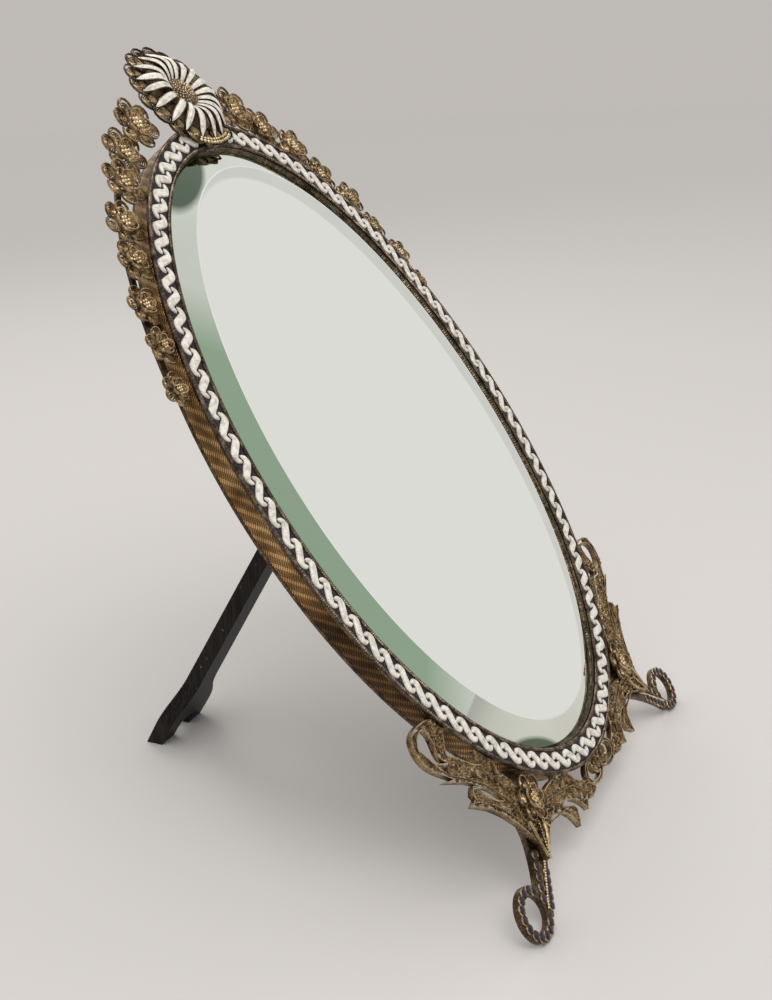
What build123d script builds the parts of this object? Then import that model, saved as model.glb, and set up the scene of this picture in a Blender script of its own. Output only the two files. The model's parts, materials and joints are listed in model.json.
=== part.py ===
from build123d import *

import os
from math import cos, radians, sin, sqrt, tan

# An oval dressing-table mirror of gilt metal and enamel. It leans back on two ring feet and a folding
# easel strut. Millimetres, +Z up, the glass faces -Y, and the part stands on the plane Z = 0.

os.makedirs("parts", exist_ok=True)

# Stance, in degrees
face_lean = 32.3
strut_spread = 65.5
crest_lean = 8.2

# Oval frame
oval_half_width = 88.0
oval_half_height = 125.0
band_thickness = 0.65
enamel_thickness = 0.4
enamel_width = 6.3
enamel_margin = 0.05
wire_width = 1.35
wire_height = 1.15
wire_chamfer = 0.4
wall_inset = 0.5
wall_thickness = 1.0
wall_depth = 6.2
rim_width = 5.1
rim_thickness = 1.0
sight_wall_thickness = 0.9
sight_wall_depth = 0.5

# Enamel scrolls on the band
scroll_count = 92
scroll_phase = 0.017
scroll_length = 9.4
scroll_height = 4.9
scroll_thickness = 0.35

# Glass and back
glass_edge_thickness = 1.6
bevel_rise = 4.7
bevel_width = 12.4
card_thickness = 0.6
board_thickness = 3.2
board_clearance = 0.4

# Turn buttons and their screws
button_length = 11.0
button_tail = 3.0
button_width = 4.6
button_thickness = 1.0
button_lift = 0.3
button_angles = (48, 132, 228, 312)
button_screw_radius = 0.9
button_running_gap = 0.05
button_head_gap = 0.1
button_head_radius = 1.7
button_head_height = 0.8

# Strut hinge
hinge_rise = 12.3
leaf_thickness = 0.8
leaf_length = 15.0
knuckle_radius = 1.9
knuckle_length = 3.8
knuckle_gap = 0.3
hinge_pin_radius = 0.8
pin_running_gap = 0.05
hinge_seat_gap = 0.3
heel_gap = 0.3
leaf_screw_radius = 0.8
leaf_screw_head = 1.5
leaf_screw_head_height = 0.8
leaf_screw_depth = 2.2
leaf_screw_spread = 3.4
leaf_screw_row = 12.3
fastener_gap = 0.02

# Easel strut
strut_thickness = 6.0
strut_top_width = 10.0
strut_neck_width = 13.0
strut_toe_spread = 29.0
strut_toe_taper = 1.2
strut_notch_width = 10.0
strut_notch_height = 8.0
strut_flare_height = 29.0
strut_toe_height = 8.0

# Crest
crest_above = 10.8
crest_front = 0.1
rosette_margin = 3.8
rosette_lobe_radius = 4.0
rosette_lobes = 18
rosette_thickness = 1.0
petal_count = 18
petal_reach = 18.2
petal_root = 5.4
petal_arch = 3.9
petal_spring = 0.9
petal_tip_rise = 0.35
petal_tip_gap = 0.1
petal_thickness = 0.8
petal_width = 3.0
petal_root_width = 1.7
petal_tip_width = 0.3
hub_radius = 6.4
hub_thickness = 1.6
dome_radius = 6.1
dome_height = 2.4
granule_radius = 1.2
granule_height = 1.1
granule_sides = 8
granule_taper = 25
granule_count = 7
granule_gap = 0.6
granule_step = 8.0
bracket_width = 9.0
bracket_thickness = 1.0
bracket_rise = 15.0
bracket_start = 3.0
bracket_foot_depth = 5.0
rivet_radius = 0.9
rivet_head_radius = 1.7
rivet_head_height = 0.7
crest_rivet_spread = 2.6

# Garland of flowers round the shoulders
garland_count = 8
garland_margin_side = 2.8
garland_margin_top = 11.8
garland_first_angle = 70.8
garland_first_step = 8.6
garland_step_change = 0.45
garland_first_radius = 9.4
garland_last_radius = 5.6
garland_petals = 6
blossom_lobe = 0.4
blossom_lobe_sides = 8
garland_depth = 2.0
flower_thickness = 1.3
stem_width = 2.0
stem_thickness = 1.0
stem_overrun = 5.0
peg_angles = (30, 48)
peg_length = 9.0

# Feet: a flower beside the oval at an angle below its middle, and a ring out and down from the flower
leg_out = 31.3
leg_down = 23.7
ring_radius = 8.4
ring_hole_radius = 5.4
leg_thickness = 2.0
foot_flat = 0.4
foot_panel_depth = 1.6
foot_panel_thickness = 2.4
flower_out = 5.2
flower_boss_radius = 3.0
blossom_angle = 61.3
blossom_margin = 5.2
blossom_radius = 7.8
blossom_thickness = 1.4
blossom_petals = 6
scale_radius = 1.35
scale_sides = 6
scale_thickness = 0.5
ring_scale_step = 24
ring_scale_start = -126
ring_scales = 12
leg_scales = 5
loop_reach = 6.5
loop_below = 3.7
loop_half_width = 6.9
loop_half_height = 4.4
loop_wire = 1.6
curl_reach = 3.9
curl_radius = 3.2

# Depths behind the front of the enamel scrolls, each worked out from the piece in front of it
enamel_depth = scroll_thickness
band_depth = enamel_depth + enamel_thickness
wire_depth = band_depth - wire_height
wall_front = band_depth + band_thickness
rim_front = wall_front + wall_depth
rim_back = rim_front + rim_thickness
band_inner = 2 * (wire_width + enamel_margin) + enamel_width
plate_inset = wall_inset + rim_width + board_clearance
sight_foot = wall_front + sight_wall_depth
glass_depth = sight_foot + bevel_rise * (band_inner - plate_inset) / bevel_width
card_depth = glass_depth + glass_edge_thickness
board_depth = card_depth + card_thickness
board_back = board_depth + board_thickness
button_depth = max(rim_back, board_back) + button_lift
hinge_offset = knuckle_radius + hinge_seat_gap
hinge_depth = board_back + hinge_offset
hinge_width = 3 * knuckle_length + 2 * knuckle_gap
leg_depth = foot_panel_depth + foot_panel_thickness
leg_back = leg_depth + leg_thickness
blossom_depth = foot_panel_depth - blossom_thickness

# Places on the face, measured from the oval's centre
crest_rise = oval_half_height + crest_above
rosette_radius = petal_reach + rosette_margin
granule_ring = petal_reach + granule_gap + granule_radius
blossom_reach = (oval_half_width + blossom_margin) * cos(radians(blossom_angle))
blossom_drop = (oval_half_height + blossom_margin) * sin(radians(blossom_angle))
foot_reach = blossom_reach + leg_out
foot_drop = blossom_drop + leg_down
loop_drop = oval_half_height + loop_below

# The rings touch the floor, and the origin lies under the middle of the part, front to back
lean_sin = sin(radians(face_lean))
lean_cos = cos(radians(face_lean))
strut_slope = strut_spread - face_lean
slope_sin = sin(radians(strut_slope))
slope_cos = cos(radians(strut_slope))
centre_z = (foot_drop + ring_radius) * lean_cos + leg_back * lean_sin - foot_flat
pin_rise = centre_z + hinge_rise * lean_cos - hinge_depth * lean_sin
pin_run = hinge_rise * lean_sin + hinge_depth * lean_cos
strut_offset = hinge_offset + strut_thickness
top_rise = pin_rise + strut_offset * slope_sin
heel_run = pin_run + strut_offset * slope_cos + top_rise * slope_sin / slope_cos
ring_run = leg_depth * lean_cos - (foot_drop + ring_radius) * lean_sin
centre_y = -(heel_run + ring_run) / 2

# Working planes. On the face plane X runs across, Y up the face and Z towards the viewer.
face = Plane(origin=(0, centre_y, centre_z), x_dir=(1, 0, 0), z_dir=(0, -lean_cos, lean_sin))
side_view = Plane(origin=face.origin, x_dir=face.y_dir, z_dir=face.x_dir)


def behind(depth):
    """The face plane moved back by a depth."""
    return face.offset(-depth)


def on_face(x, y, depth):
    """The point x across and y up the face at a depth behind it, in the part's frame."""
    return face.from_local_coords(Vector(x, y, -depth))


def oval_disc(depth, inset):
    """A flat oval, set in from the frame's outline."""
    with BuildSketch(behind(depth)) as disc:
        Ellipse(oval_half_width - inset, oval_half_height - inset)
    return disc.sketch


def oval_ring(depth, outer_inset, inner_inset):
    """A flat ring between two ovals, each set in from the frame's outline."""
    with BuildSketch(behind(depth)) as ring:
        Ellipse(oval_half_width - outer_inset, oval_half_height - outer_inset)
        Ellipse(oval_half_width - inner_inset, oval_half_height - inner_inset, mode=Mode.SUBTRACT)
    return ring.sketch


def blossom(x, y, depth, radius, petals):
    """A flat flower of rounded petals about a point of the face."""
    with BuildSketch(behind(depth)) as outline:
        with Locations((x, y)):
            with PolarLocations((1 - blossom_lobe) * radius, petals, start_angle=90):
                RegularPolygon(blossom_lobe * radius, blossom_lobe_sides)
            Circle(radius / 2)
    return outline.sketch


# The space inside the side wall and the band, to which the ornaments outside it are trimmed
with BuildPart() as frame_core:
    extrude(oval_disc(-wall_depth, wall_inset), amount=-(wall_depth + rim_back + wall_depth))
    extrude(oval_disc(-wall_depth, 0), amount=-(wall_depth + wall_front))

# Face band, which carries the enamel
with BuildPart() as face_band:
    extrude(oval_ring(band_depth, wire_width / 4, band_inner), amount=-band_thickness)
face_band.part.label = "face_band"
export_step(face_band.part, "parts/face_band.step")

# Dark enamel ground between the two wires
enamel_start = wire_width + enamel_margin
with BuildPart() as enamel_ground:
    extrude(oval_ring(enamel_depth, enamel_start, enamel_start + enamel_width), amount=-enamel_thickness)
enamel_ground.part.label = "enamel_ground"
export_step(enamel_ground.part, "parts/enamel_ground.step")

def bevelled_ring(inset):
    """A wire that lies on the band, bevelled along its front."""
    shoulder = wire_depth + wire_chamfer
    inner = inset + wire_width
    with BuildPart() as ring:
        extrude(oval_disc(shoulder, inset), amount=-(wire_height - wire_chamfer))
        loft([oval_disc(shoulder, inset), oval_disc(wire_depth, inset + wire_chamfer)])
        extrude(oval_disc(shoulder, inner), amount=-(wire_height - wire_chamfer), mode=Mode.SUBTRACT)
        loft([oval_disc(shoulder, inner), oval_disc(wire_depth, inner - wire_chamfer)], mode=Mode.SUBTRACT)
    return ring.part


# Milled wires along both edges of the band
for edge, inset in (("outer", 0), ("inner", band_inner - wire_width)):
    with BuildPart() as milled_wire:
        add(bevelled_ring(inset))
    milled_wire.part.label = f"{edge}_milled_wire"
    export_step(milled_wire.part, f"parts/{edge}_milled_wire.step")


def scroll_places():
    """A plane for each enamel scroll, evenly spaced along the middle of the band."""
    middle = enamel_start + enamel_width / 2
    path = Edge.make_ellipse(
        oval_half_width - middle, oval_half_height - middle, plane=behind(enamel_depth)
    )
    places = []
    for index in range(scroll_count):
        turn = (0.25 + scroll_phase + index / scroll_count) % 1
        places.append(Plane(origin=path.position_at(turn), x_dir=path.tangent_at(turn), z_dir=face.z_dir))
    return places


def scroll_outline():
    """One S scroll: its hook and one flank of the stroke, then the same turned half round."""
    reach = scroll_length / 2
    rise = scroll_height / 2
    half = [
        (-reach, 0.2 * rise),
        (-0.94 * reach, 0.82 * rise),
        (-0.64 * reach, rise),
        (-0.26 * reach, 0.94 * rise),
        (0.49 * reach, -0.37 * rise),
        (0.68 * reach, -0.45 * rise),
        (0.79 * reach, -0.2 * rise),
    ]
    return half + [(-x, -y) for x, y in half]


# White enamel scrolls
with BuildPart() as wave_scrolls:
    with BuildSketch(*scroll_places()):
        Polygon(*scroll_outline(), align=None)
    extrude(amount=scroll_thickness)
wave_scrolls.part.label = "wave_scrolls"
export_step(wave_scrolls.part, "parts/wave_scrolls.step")

# Side wall
with BuildPart() as side_wall:
    extrude(oval_ring(wall_front, wall_inset, wall_inset + wall_thickness), amount=-wall_depth)
side_wall.part.label = "side_wall"
export_step(side_wall.part, "parts/side_wall.step")

# Sight wall, the step from the band down to the glass
with BuildPart() as sight_wall:
    extrude(oval_ring(wall_front, band_inner - sight_wall_thickness, band_inner), amount=-sight_wall_depth)
sight_wall.part.label = "sight_wall"
export_step(sight_wall.part, "parts/sight_wall.step")


def button_places():
    """A plane at each turn button's pivot on the back rim, with X pointing in across the board."""
    inset = wall_inset + rim_width / 2
    places = []
    for angle in button_angles:
        x = (oval_half_width - inset) * cos(radians(angle))
        y = (oval_half_height - inset) * sin(radians(angle))
        inward = face.x_dir * (-x / oval_half_width**2) + face.y_dir * (-y / oval_half_height**2)
        places.append(Plane(origin=on_face(x, y, rim_front), x_dir=inward, z_dir=-face.z_dir))
    return places


pivots = button_places()

# Back rim, through which the glass and the board go in
with BuildPart() as back_rim:
    extrude(oval_ring(rim_front, wall_inset, wall_inset + rim_width), amount=-rim_thickness)
    with BuildSketch(*pivots):
        Circle(button_screw_radius + fastener_gap)
    extrude(amount=rim_thickness, mode=Mode.SUBTRACT)
back_rim.part.label = "back_rim"
export_step(back_rim.part, "parts/back_rim.step")

# Turn buttons
button_start = button_depth - rim_front
for number, pivot in enumerate(pivots, start=1):
    with BuildPart() as turn_button:
        with BuildSketch(pivot.offset(button_start)):
            with Locations((button_length / 2 - button_tail, 0)):
                SlotOverall(button_length, button_width)
            Circle(button_screw_radius + button_running_gap, mode=Mode.SUBTRACT)
        extrude(amount=button_thickness)
    turn_button.part.label = f"turn_button_{number}"
    export_step(turn_button.part, f"parts/turn_button_{number}.step")

# Screws that the buttons turn on
head_start = button_start + button_thickness + button_head_gap
with BuildPart() as turn_button_screws:
    with BuildSketch(*pivots):
        Circle(button_screw_radius)
    extrude(amount=head_start)
    with BuildSketch(*[pivot.offset(head_start) for pivot in pivots]):
        Circle(button_head_radius)
    extrude(amount=button_head_height)
turn_button_screws.part.label = "turn_button_screws"
export_step(turn_button_screws.part, "parts/turn_button_screws.step")

# Bevelled mirror plate
with BuildPart() as mirror_glass:
    extrude(oval_disc(glass_depth, plate_inset), amount=-glass_edge_thickness)
    bevel_top = oval_disc(glass_depth - bevel_rise, plate_inset + bevel_width)
    loft([oval_disc(glass_depth, plate_inset), bevel_top])
mirror_glass.part.label = "mirror_glass"
export_step(mirror_glass.part, "parts/mirror_glass.step")

# Backing card
with BuildPart() as backing_card:
    extrude(oval_disc(card_depth, plate_inset), amount=-card_thickness)
backing_card.part.label = "backing_card"
export_step(backing_card.part, "parts/backing_card.step")

# Hinge planes: Z points from the board or the strut to the pin, and Y runs away from the pin
strut_normal = Vector(0, slope_cos, slope_sin)
pin_centre = on_face(0, hinge_rise, hinge_depth)
board_mount = Plane(origin=on_face(0, hinge_rise, board_back), x_dir=(-1, 0, 0), z_dir=-face.z_dir)
strut_mount = Plane(origin=pin_centre + strut_normal * hinge_offset, x_dir=(-1, 0, 0), z_dir=-strut_normal)
knuckle_step = knuckle_length + knuckle_gap
leaf_screws = [(-leaf_screw_spread, leaf_screw_row), (leaf_screw_spread, leaf_screw_row)]


def leaf_plate(mount, gaps):
    """The flat of a hinge leaf, with room for the other leaf's knuckles and holes for two screws."""
    with BuildSketch(mount) as plate:
        with Locations((0, leaf_length / 2)):
            Rectangle(hinge_width, leaf_length)
        with Locations(*[(place * knuckle_step, 0) for place in gaps]):
            Rectangle(knuckle_length + 2 * knuckle_gap, 2 * hinge_offset, mode=Mode.SUBTRACT)
        with Locations(*leaf_screws):
            Circle(leaf_screw_radius + fastener_gap, mode=Mode.SUBTRACT)
    return plate.sketch


def knuckle_ends(places, radius):
    """A disc round the pin at the start of each knuckle."""
    starts = [pin_centre + Vector(place * knuckle_step - knuckle_length / 2, 0, 0) for place in places]
    with BuildSketch(*[Plane(origin=start, x_dir=(0, 1, 0), z_dir=(1, 0, 0)) for start in starts]) as discs:
        Circle(radius)
    return discs.sketch


def screw_discs(mount, radius):
    """A disc at each of a leaf's two screws."""
    with BuildSketch(mount) as discs:
        with Locations(*leaf_screws):
            Circle(radius)
    return discs.sketch


# Hinge leaf on the board, with the two outer knuckles
with BuildPart() as hinge_board_leaf:
    extrude(leaf_plate(board_mount, (0,)), amount=leaf_thickness)
    extrude(knuckle_ends((-1, 1), knuckle_radius), amount=knuckle_length)
    bores = knuckle_ends((-1, 1), hinge_pin_radius + fastener_gap)
    extrude(bores, amount=knuckle_length, mode=Mode.SUBTRACT)
hinge_board_leaf.part.label = "hinge_board_leaf"
export_step(hinge_board_leaf.part, "parts/hinge_board_leaf.step")

# Hinge leaf on the strut, with the middle knuckle
with BuildPart() as hinge_strut_leaf:
    extrude(leaf_plate(strut_mount, (-1, 1)), amount=leaf_thickness)
    extrude(knuckle_ends((0,), knuckle_radius), amount=knuckle_length)
    bore = knuckle_ends((0,), hinge_pin_radius + pin_running_gap)
    extrude(bore, amount=knuckle_length, mode=Mode.SUBTRACT)
hinge_strut_leaf.part.label = "hinge_strut_leaf"
export_step(hinge_strut_leaf.part, "parts/hinge_strut_leaf.step")

# Hinge pin
with BuildPart() as hinge_pin:
    with BuildSketch(Plane(origin=pin_centre, x_dir=(0, 1, 0), z_dir=(1, 0, 0))):
        Circle(hinge_pin_radius)
    extrude(amount=hinge_width / 2, both=True)
hinge_pin.part.label = "hinge_pin"
export_step(hinge_pin.part, "parts/hinge_pin.step")

# Screws of the two leaves, each with its head on the leaf and its shank in the wood
for name, mount in (("board", board_mount), ("strut", strut_mount)):
    with BuildPart() as leaf_screw_pair:
        shanks = screw_discs(mount.offset(-leaf_screw_depth), leaf_screw_radius)
        extrude(shanks, amount=leaf_screw_depth + leaf_thickness)
        extrude(screw_discs(mount.offset(leaf_thickness), leaf_screw_head), amount=leaf_screw_head_height)
    leaf_screw_pair.part.label = f"{name}_leaf_screws"
    export_step(leaf_screw_pair.part, f"parts/{name}_leaf_screws.step")

# Back board
with BuildPart() as back_board:
    extrude(oval_disc(board_depth, plate_inset), amount=-board_thickness)
    extrude(
        screw_discs(board_mount.offset(-leaf_screw_depth), leaf_screw_radius + fastener_gap),
        amount=leaf_screw_depth,
        mode=Mode.SUBTRACT,
    )
back_board.part.label = "back_board"
export_step(back_board.part, "parts/back_board.step")


def strut_outline(length):
    """The strut from above its hinge down to its two toes, with the arched notch between them."""
    top = -strut_thickness
    neck = length - strut_flare_height
    toe = length - strut_toe_height
    arch = length - strut_notch_height
    end = length + strut_thickness
    half_top = strut_top_width / 2
    half_neck = strut_neck_width / 2
    half_toe = strut_toe_spread / 2
    half_notch = strut_notch_width / 2
    with BuildSketch(strut_mount) as outline:
        for side in (-1, 1):
            with BuildLine():
                Polyline((0, top), (side * half_top, top), (side * half_neck, neck))
                Spline(
                    (side * half_neck, neck),
                    (side * half_toe, toe),
                    tangents=((0, 1), (0, 1)),
                    tangent_scalars=(1.3, 1.3),
                )
                Polyline(
                    (side * half_toe, toe),
                    (side * (half_toe - strut_toe_taper), end),
                    (side * half_notch, end),
                    (side * half_notch, arch + half_notch),
                )
                ThreePointArc(
                    (side * half_notch, arch + half_notch),
                    (side * half_notch * sqrt(0.5), arch + half_notch * (1 - sqrt(0.5))),
                    (0, arch),
                )
                Line((0, arch), (0, top))
            make_face()
    return outline.sketch


# Easel strut, bevelled at its heel to meet the hinge leaf when open, and cut flat at its toes
strut_length = (pin_rise + hinge_offset * slope_sin) / slope_cos
heel_stop = board_mount.offset(leaf_thickness + heel_gap)
with BuildPart() as strut:
    extrude(strut_outline(strut_length), amount=-strut_thickness)
    extrude(
        screw_discs(strut_mount.offset(-leaf_screw_depth), leaf_screw_radius + fastener_gap),
        amount=leaf_screw_depth,
        mode=Mode.SUBTRACT,
    )
    split(bisect_by=heel_stop, keep=Keep.TOP)
    split(bisect_by=Plane.XY, keep=Keep.TOP)
strut.part.label = "strut"
export_step(strut.part, "parts/strut.step")

# The crest leans back over the top of the band
crest_tilt = face_lean + crest_lean
crest = Plane(
    origin=on_face(0, crest_rise, crest_front),
    x_dir=(1, 0, 0),
    z_dir=(0, -cos(radians(crest_tilt)), sin(radians(crest_tilt))),
)
crest_side = Plane(origin=crest.origin, x_dir=crest.x_dir, z_dir=-crest.y_dir)
crest_rivet_places = [(-crest_rivet_spread, 0), (crest_rivet_spread, 0)]

# Crest rosette, a lobed plate behind the daisy
with BuildPart() as crest_rosette:
    with BuildSketch(crest.offset(-rosette_thickness)):
        Circle(rosette_radius - rosette_lobe_radius)
        with PolarLocations(rosette_radius - rosette_lobe_radius, rosette_lobes):
            Circle(rosette_lobe_radius)
        with Locations(*crest_rivet_places):
            Circle(rivet_radius + fastener_gap, mode=Mode.SUBTRACT)
    extrude(amount=rosette_thickness)
crest_rosette.part.label = "crest_rosette"
export_step(crest_rosette.part, "parts/crest_rosette.step")

# One daisy petal, arched up from the hub and back to the rosette, widest past its arch and pointed
petal_span = petal_reach - petal_root
petal_belly = petal_reach - petal_span / 4
petal_back = [
    (petal_root, petal_spring),
    (petal_root + 0.2 * petal_span, 0.8 * petal_arch),
    (petal_root + 0.5 * petal_span, petal_arch),
    (petal_belly, 0.8 * petal_arch),
    (petal_reach, petal_tip_rise),
]
petal_heel = (petal_reach - petal_thickness, petal_tip_gap)
petal_under = [(reach, rise - petal_thickness) for reach, rise in petal_back[:-1]]
with BuildPart() as petal:
    with BuildSketch(Plane.XZ):
        with BuildLine():
            Polyline(*petal_back, petal_heel, *reversed(petal_under), petal_back[0])
        make_face()
    extrude(amount=petal_width, both=True)
    with BuildSketch(Plane.XY):
        with BuildLine():
            Polyline(
                (petal_root, 0),
                (petal_root, petal_root_width / 2),
                (petal_belly, petal_width / 2),
                (petal_reach, petal_tip_width / 2),
                (petal_reach, 0),
            )
            mirror(about=Plane.XZ)
        make_face()
    extrude(amount=petal_arch + petal_thickness, mode=Mode.INTERSECT)

# Daisy petals on their hub
with BuildPart() as daisy_petals:
    with BuildSketch(crest):
        Circle(hub_radius)
    extrude(amount=hub_thickness)
    with Locations(crest):
        with PolarLocations(0, petal_count, start_angle=180 / petal_count):
            add(petal.part)
daisy_petals.part.label = "daisy_petals"
export_step(daisy_petals.part, "parts/daisy_petals.step")

# Granulated dome in the middle of the daisy
dome_top = hub_thickness + dome_height
with BuildPart() as daisy_dome:
    with BuildSketch(crest_side):
        with BuildLine():
            Polyline(
                (0, hub_thickness),
                (dome_radius, hub_thickness),
                (0.88 * dome_radius, hub_thickness + 0.45 * dome_height),
                (0.55 * dome_radius, hub_thickness + 0.85 * dome_height),
                (0, dome_top),
                (0, hub_thickness),
            )
        make_face()
    revolve(axis=Axis(crest.origin, crest.z_dir))
daisy_dome.part.label = "daisy_dome"
export_step(daisy_dome.part, "parts/daisy_dome.step")

# One faceted granule
with BuildPart() as granule:
    with BuildSketch():
        RegularPolygon(granule_radius, granule_sides)
    extrude(amount=granule_height, taper=granule_taper)

# Row of granules on the lower lobes of the rosette
granule_start = -90 - granule_step * (granule_count - 1) / 2
with BuildPart() as crest_granules:
    with Locations(crest):
        with PolarLocations(granule_ring, granule_count, granule_start, granule_step * granule_count):
            add(granule.part)
crest_granules.part.label = "crest_granules"
export_step(crest_granules.part, "parts/crest_granules.step")


def rosette_back(rise):
    """How far the rosette's back lies behind the face at a height above the oval's centre."""
    slope = tan(radians(crest_lean))
    return crest_front + rosette_thickness / cos(radians(crest_lean)) - (crest_rise - rise) * slope


# Bracket that carries the crest on top of the side wall
bracket_low = oval_half_height + bracket_start
bracket_high = oval_half_height + bracket_rise
bracket_foot = wall_front + bracket_foot_depth
with BuildPart() as crest_bracket:
    with BuildSketch(side_view):
        with BuildLine():
            Polyline(
                (bracket_low, -rosette_back(bracket_low)),
                (bracket_high, -rosette_back(bracket_high)),
                (bracket_high, -rosette_back(bracket_high) - bracket_thickness),
                (bracket_low + bracket_thickness, -rosette_back(bracket_low) - bracket_thickness),
                (oval_half_height + bracket_thickness / 2, -bracket_foot),
                (oval_half_height - wall_thickness, -bracket_foot),
                (oval_half_height - wall_thickness, -wall_front),
                (bracket_low, -rosette_back(bracket_low)),
            )
        make_face()
    extrude(amount=bracket_width / 2, both=True)
    with BuildSketch(crest.offset(-rosette_thickness - 2 * bracket_thickness)):
        with Locations(*crest_rivet_places):
            Circle(rivet_radius + fastener_gap)
    extrude(amount=2 * bracket_thickness, mode=Mode.SUBTRACT)
    add(frame_core.part, mode=Mode.SUBTRACT)
crest_bracket.part.label = "crest_bracket"
export_step(crest_bracket.part, "parts/crest_bracket.step")

# Rivets of the crest, flush under the hub and headed behind the bracket
crest_grip = rosette_thickness + bracket_thickness / cos(radians(crest_lean))
with BuildPart() as crest_rivets:
    with BuildSketch(crest):
        with Locations(*crest_rivet_places):
            Circle(rivet_radius)
    extrude(amount=-crest_grip)
    with BuildSketch(crest.offset(-crest_grip)):
        with Locations(*crest_rivet_places):
            Circle(rivet_head_radius)
    extrude(amount=-rivet_head_height)
crest_rivets.part.label = "crest_rivets"
export_step(crest_rivets.part, "parts/crest_rivets.step")


# The garland's flowers follow an oval of their own, closer to the frame at the sides than at the top
garland_half_width = oval_half_width + garland_margin_side
garland_half_height = oval_half_height + garland_margin_top


def garland_angle(index):
    """The angle along the garland's oval of the flower with this index, counted down from the crest."""
    return garland_first_angle - index * garland_first_step + garland_step_change * index * (index - 1) / 2


def garland_point(angle):
    """A point of the garland's oval, to the right of the crest."""
    return garland_half_width * cos(radians(angle)), garland_half_height * sin(radians(angle))


sides = (("left", -1), ("right", 1))
radius_step = (garland_first_radius - garland_last_radius) / (garland_count - 1)

# Sixteen garland flowers in two layers, each trimmed where it seats against the side wall
for side, sign in sides:
    for index in range(garland_count):
        across, up = garland_point(garland_angle(index))
        depth = garland_depth + flower_thickness * (index % 2)
        flower_radius = garland_first_radius - radius_step * index
        with BuildPart() as garland_flower:
            outline = blossom(sign * across, up, depth, flower_radius, garland_petals)
            extrude(outline, amount=-flower_thickness)
            add(frame_core.part, mode=Mode.SUBTRACT)
        garland_flower.part.label = f"{side}_flower_{index + 1}"
        export_step(garland_flower.part, f"parts/{side}_flower_{index + 1}.step")

# Stems behind the garlands, on pegs from the side wall
half_stem = stem_width / 2
stem_depth = garland_depth + 2 * flower_thickness
stem_angles = (garland_angle(garland_count - 1), garland_angle(0) + stem_overrun)
for side, sign in sides:
    fan = [(sign * 2 * x, 2 * y) for x, y in (garland_point(angle) for angle in (*stem_angles, 45))]
    with BuildPart() as garland_stem:
        with BuildSketch(behind(stem_depth)):
            Ellipse(garland_half_width + half_stem, garland_half_height + half_stem)
            Ellipse(garland_half_width - half_stem, garland_half_height - half_stem, mode=Mode.SUBTRACT)
            Polygon((0, 0), fan[0], fan[2], fan[1], align=None, mode=Mode.INTERSECT)
            for angle in peg_angles:
                across, up = garland_point(angle)
                with Locations((sign * across, up)):
                    with Locations(Rotation(0, 0, 90 + sign * (angle - 90))):
                        Rectangle(peg_length, stem_width, align=(Align.MAX, Align.CENTER))
        extrude(amount=-stem_thickness)
        add(frame_core.part, mode=Mode.SUBTRACT)
    garland_stem.part.label = f"{side}_garland_stem"
    export_step(garland_stem.part, f"parts/{side}_garland_stem.step")


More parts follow.
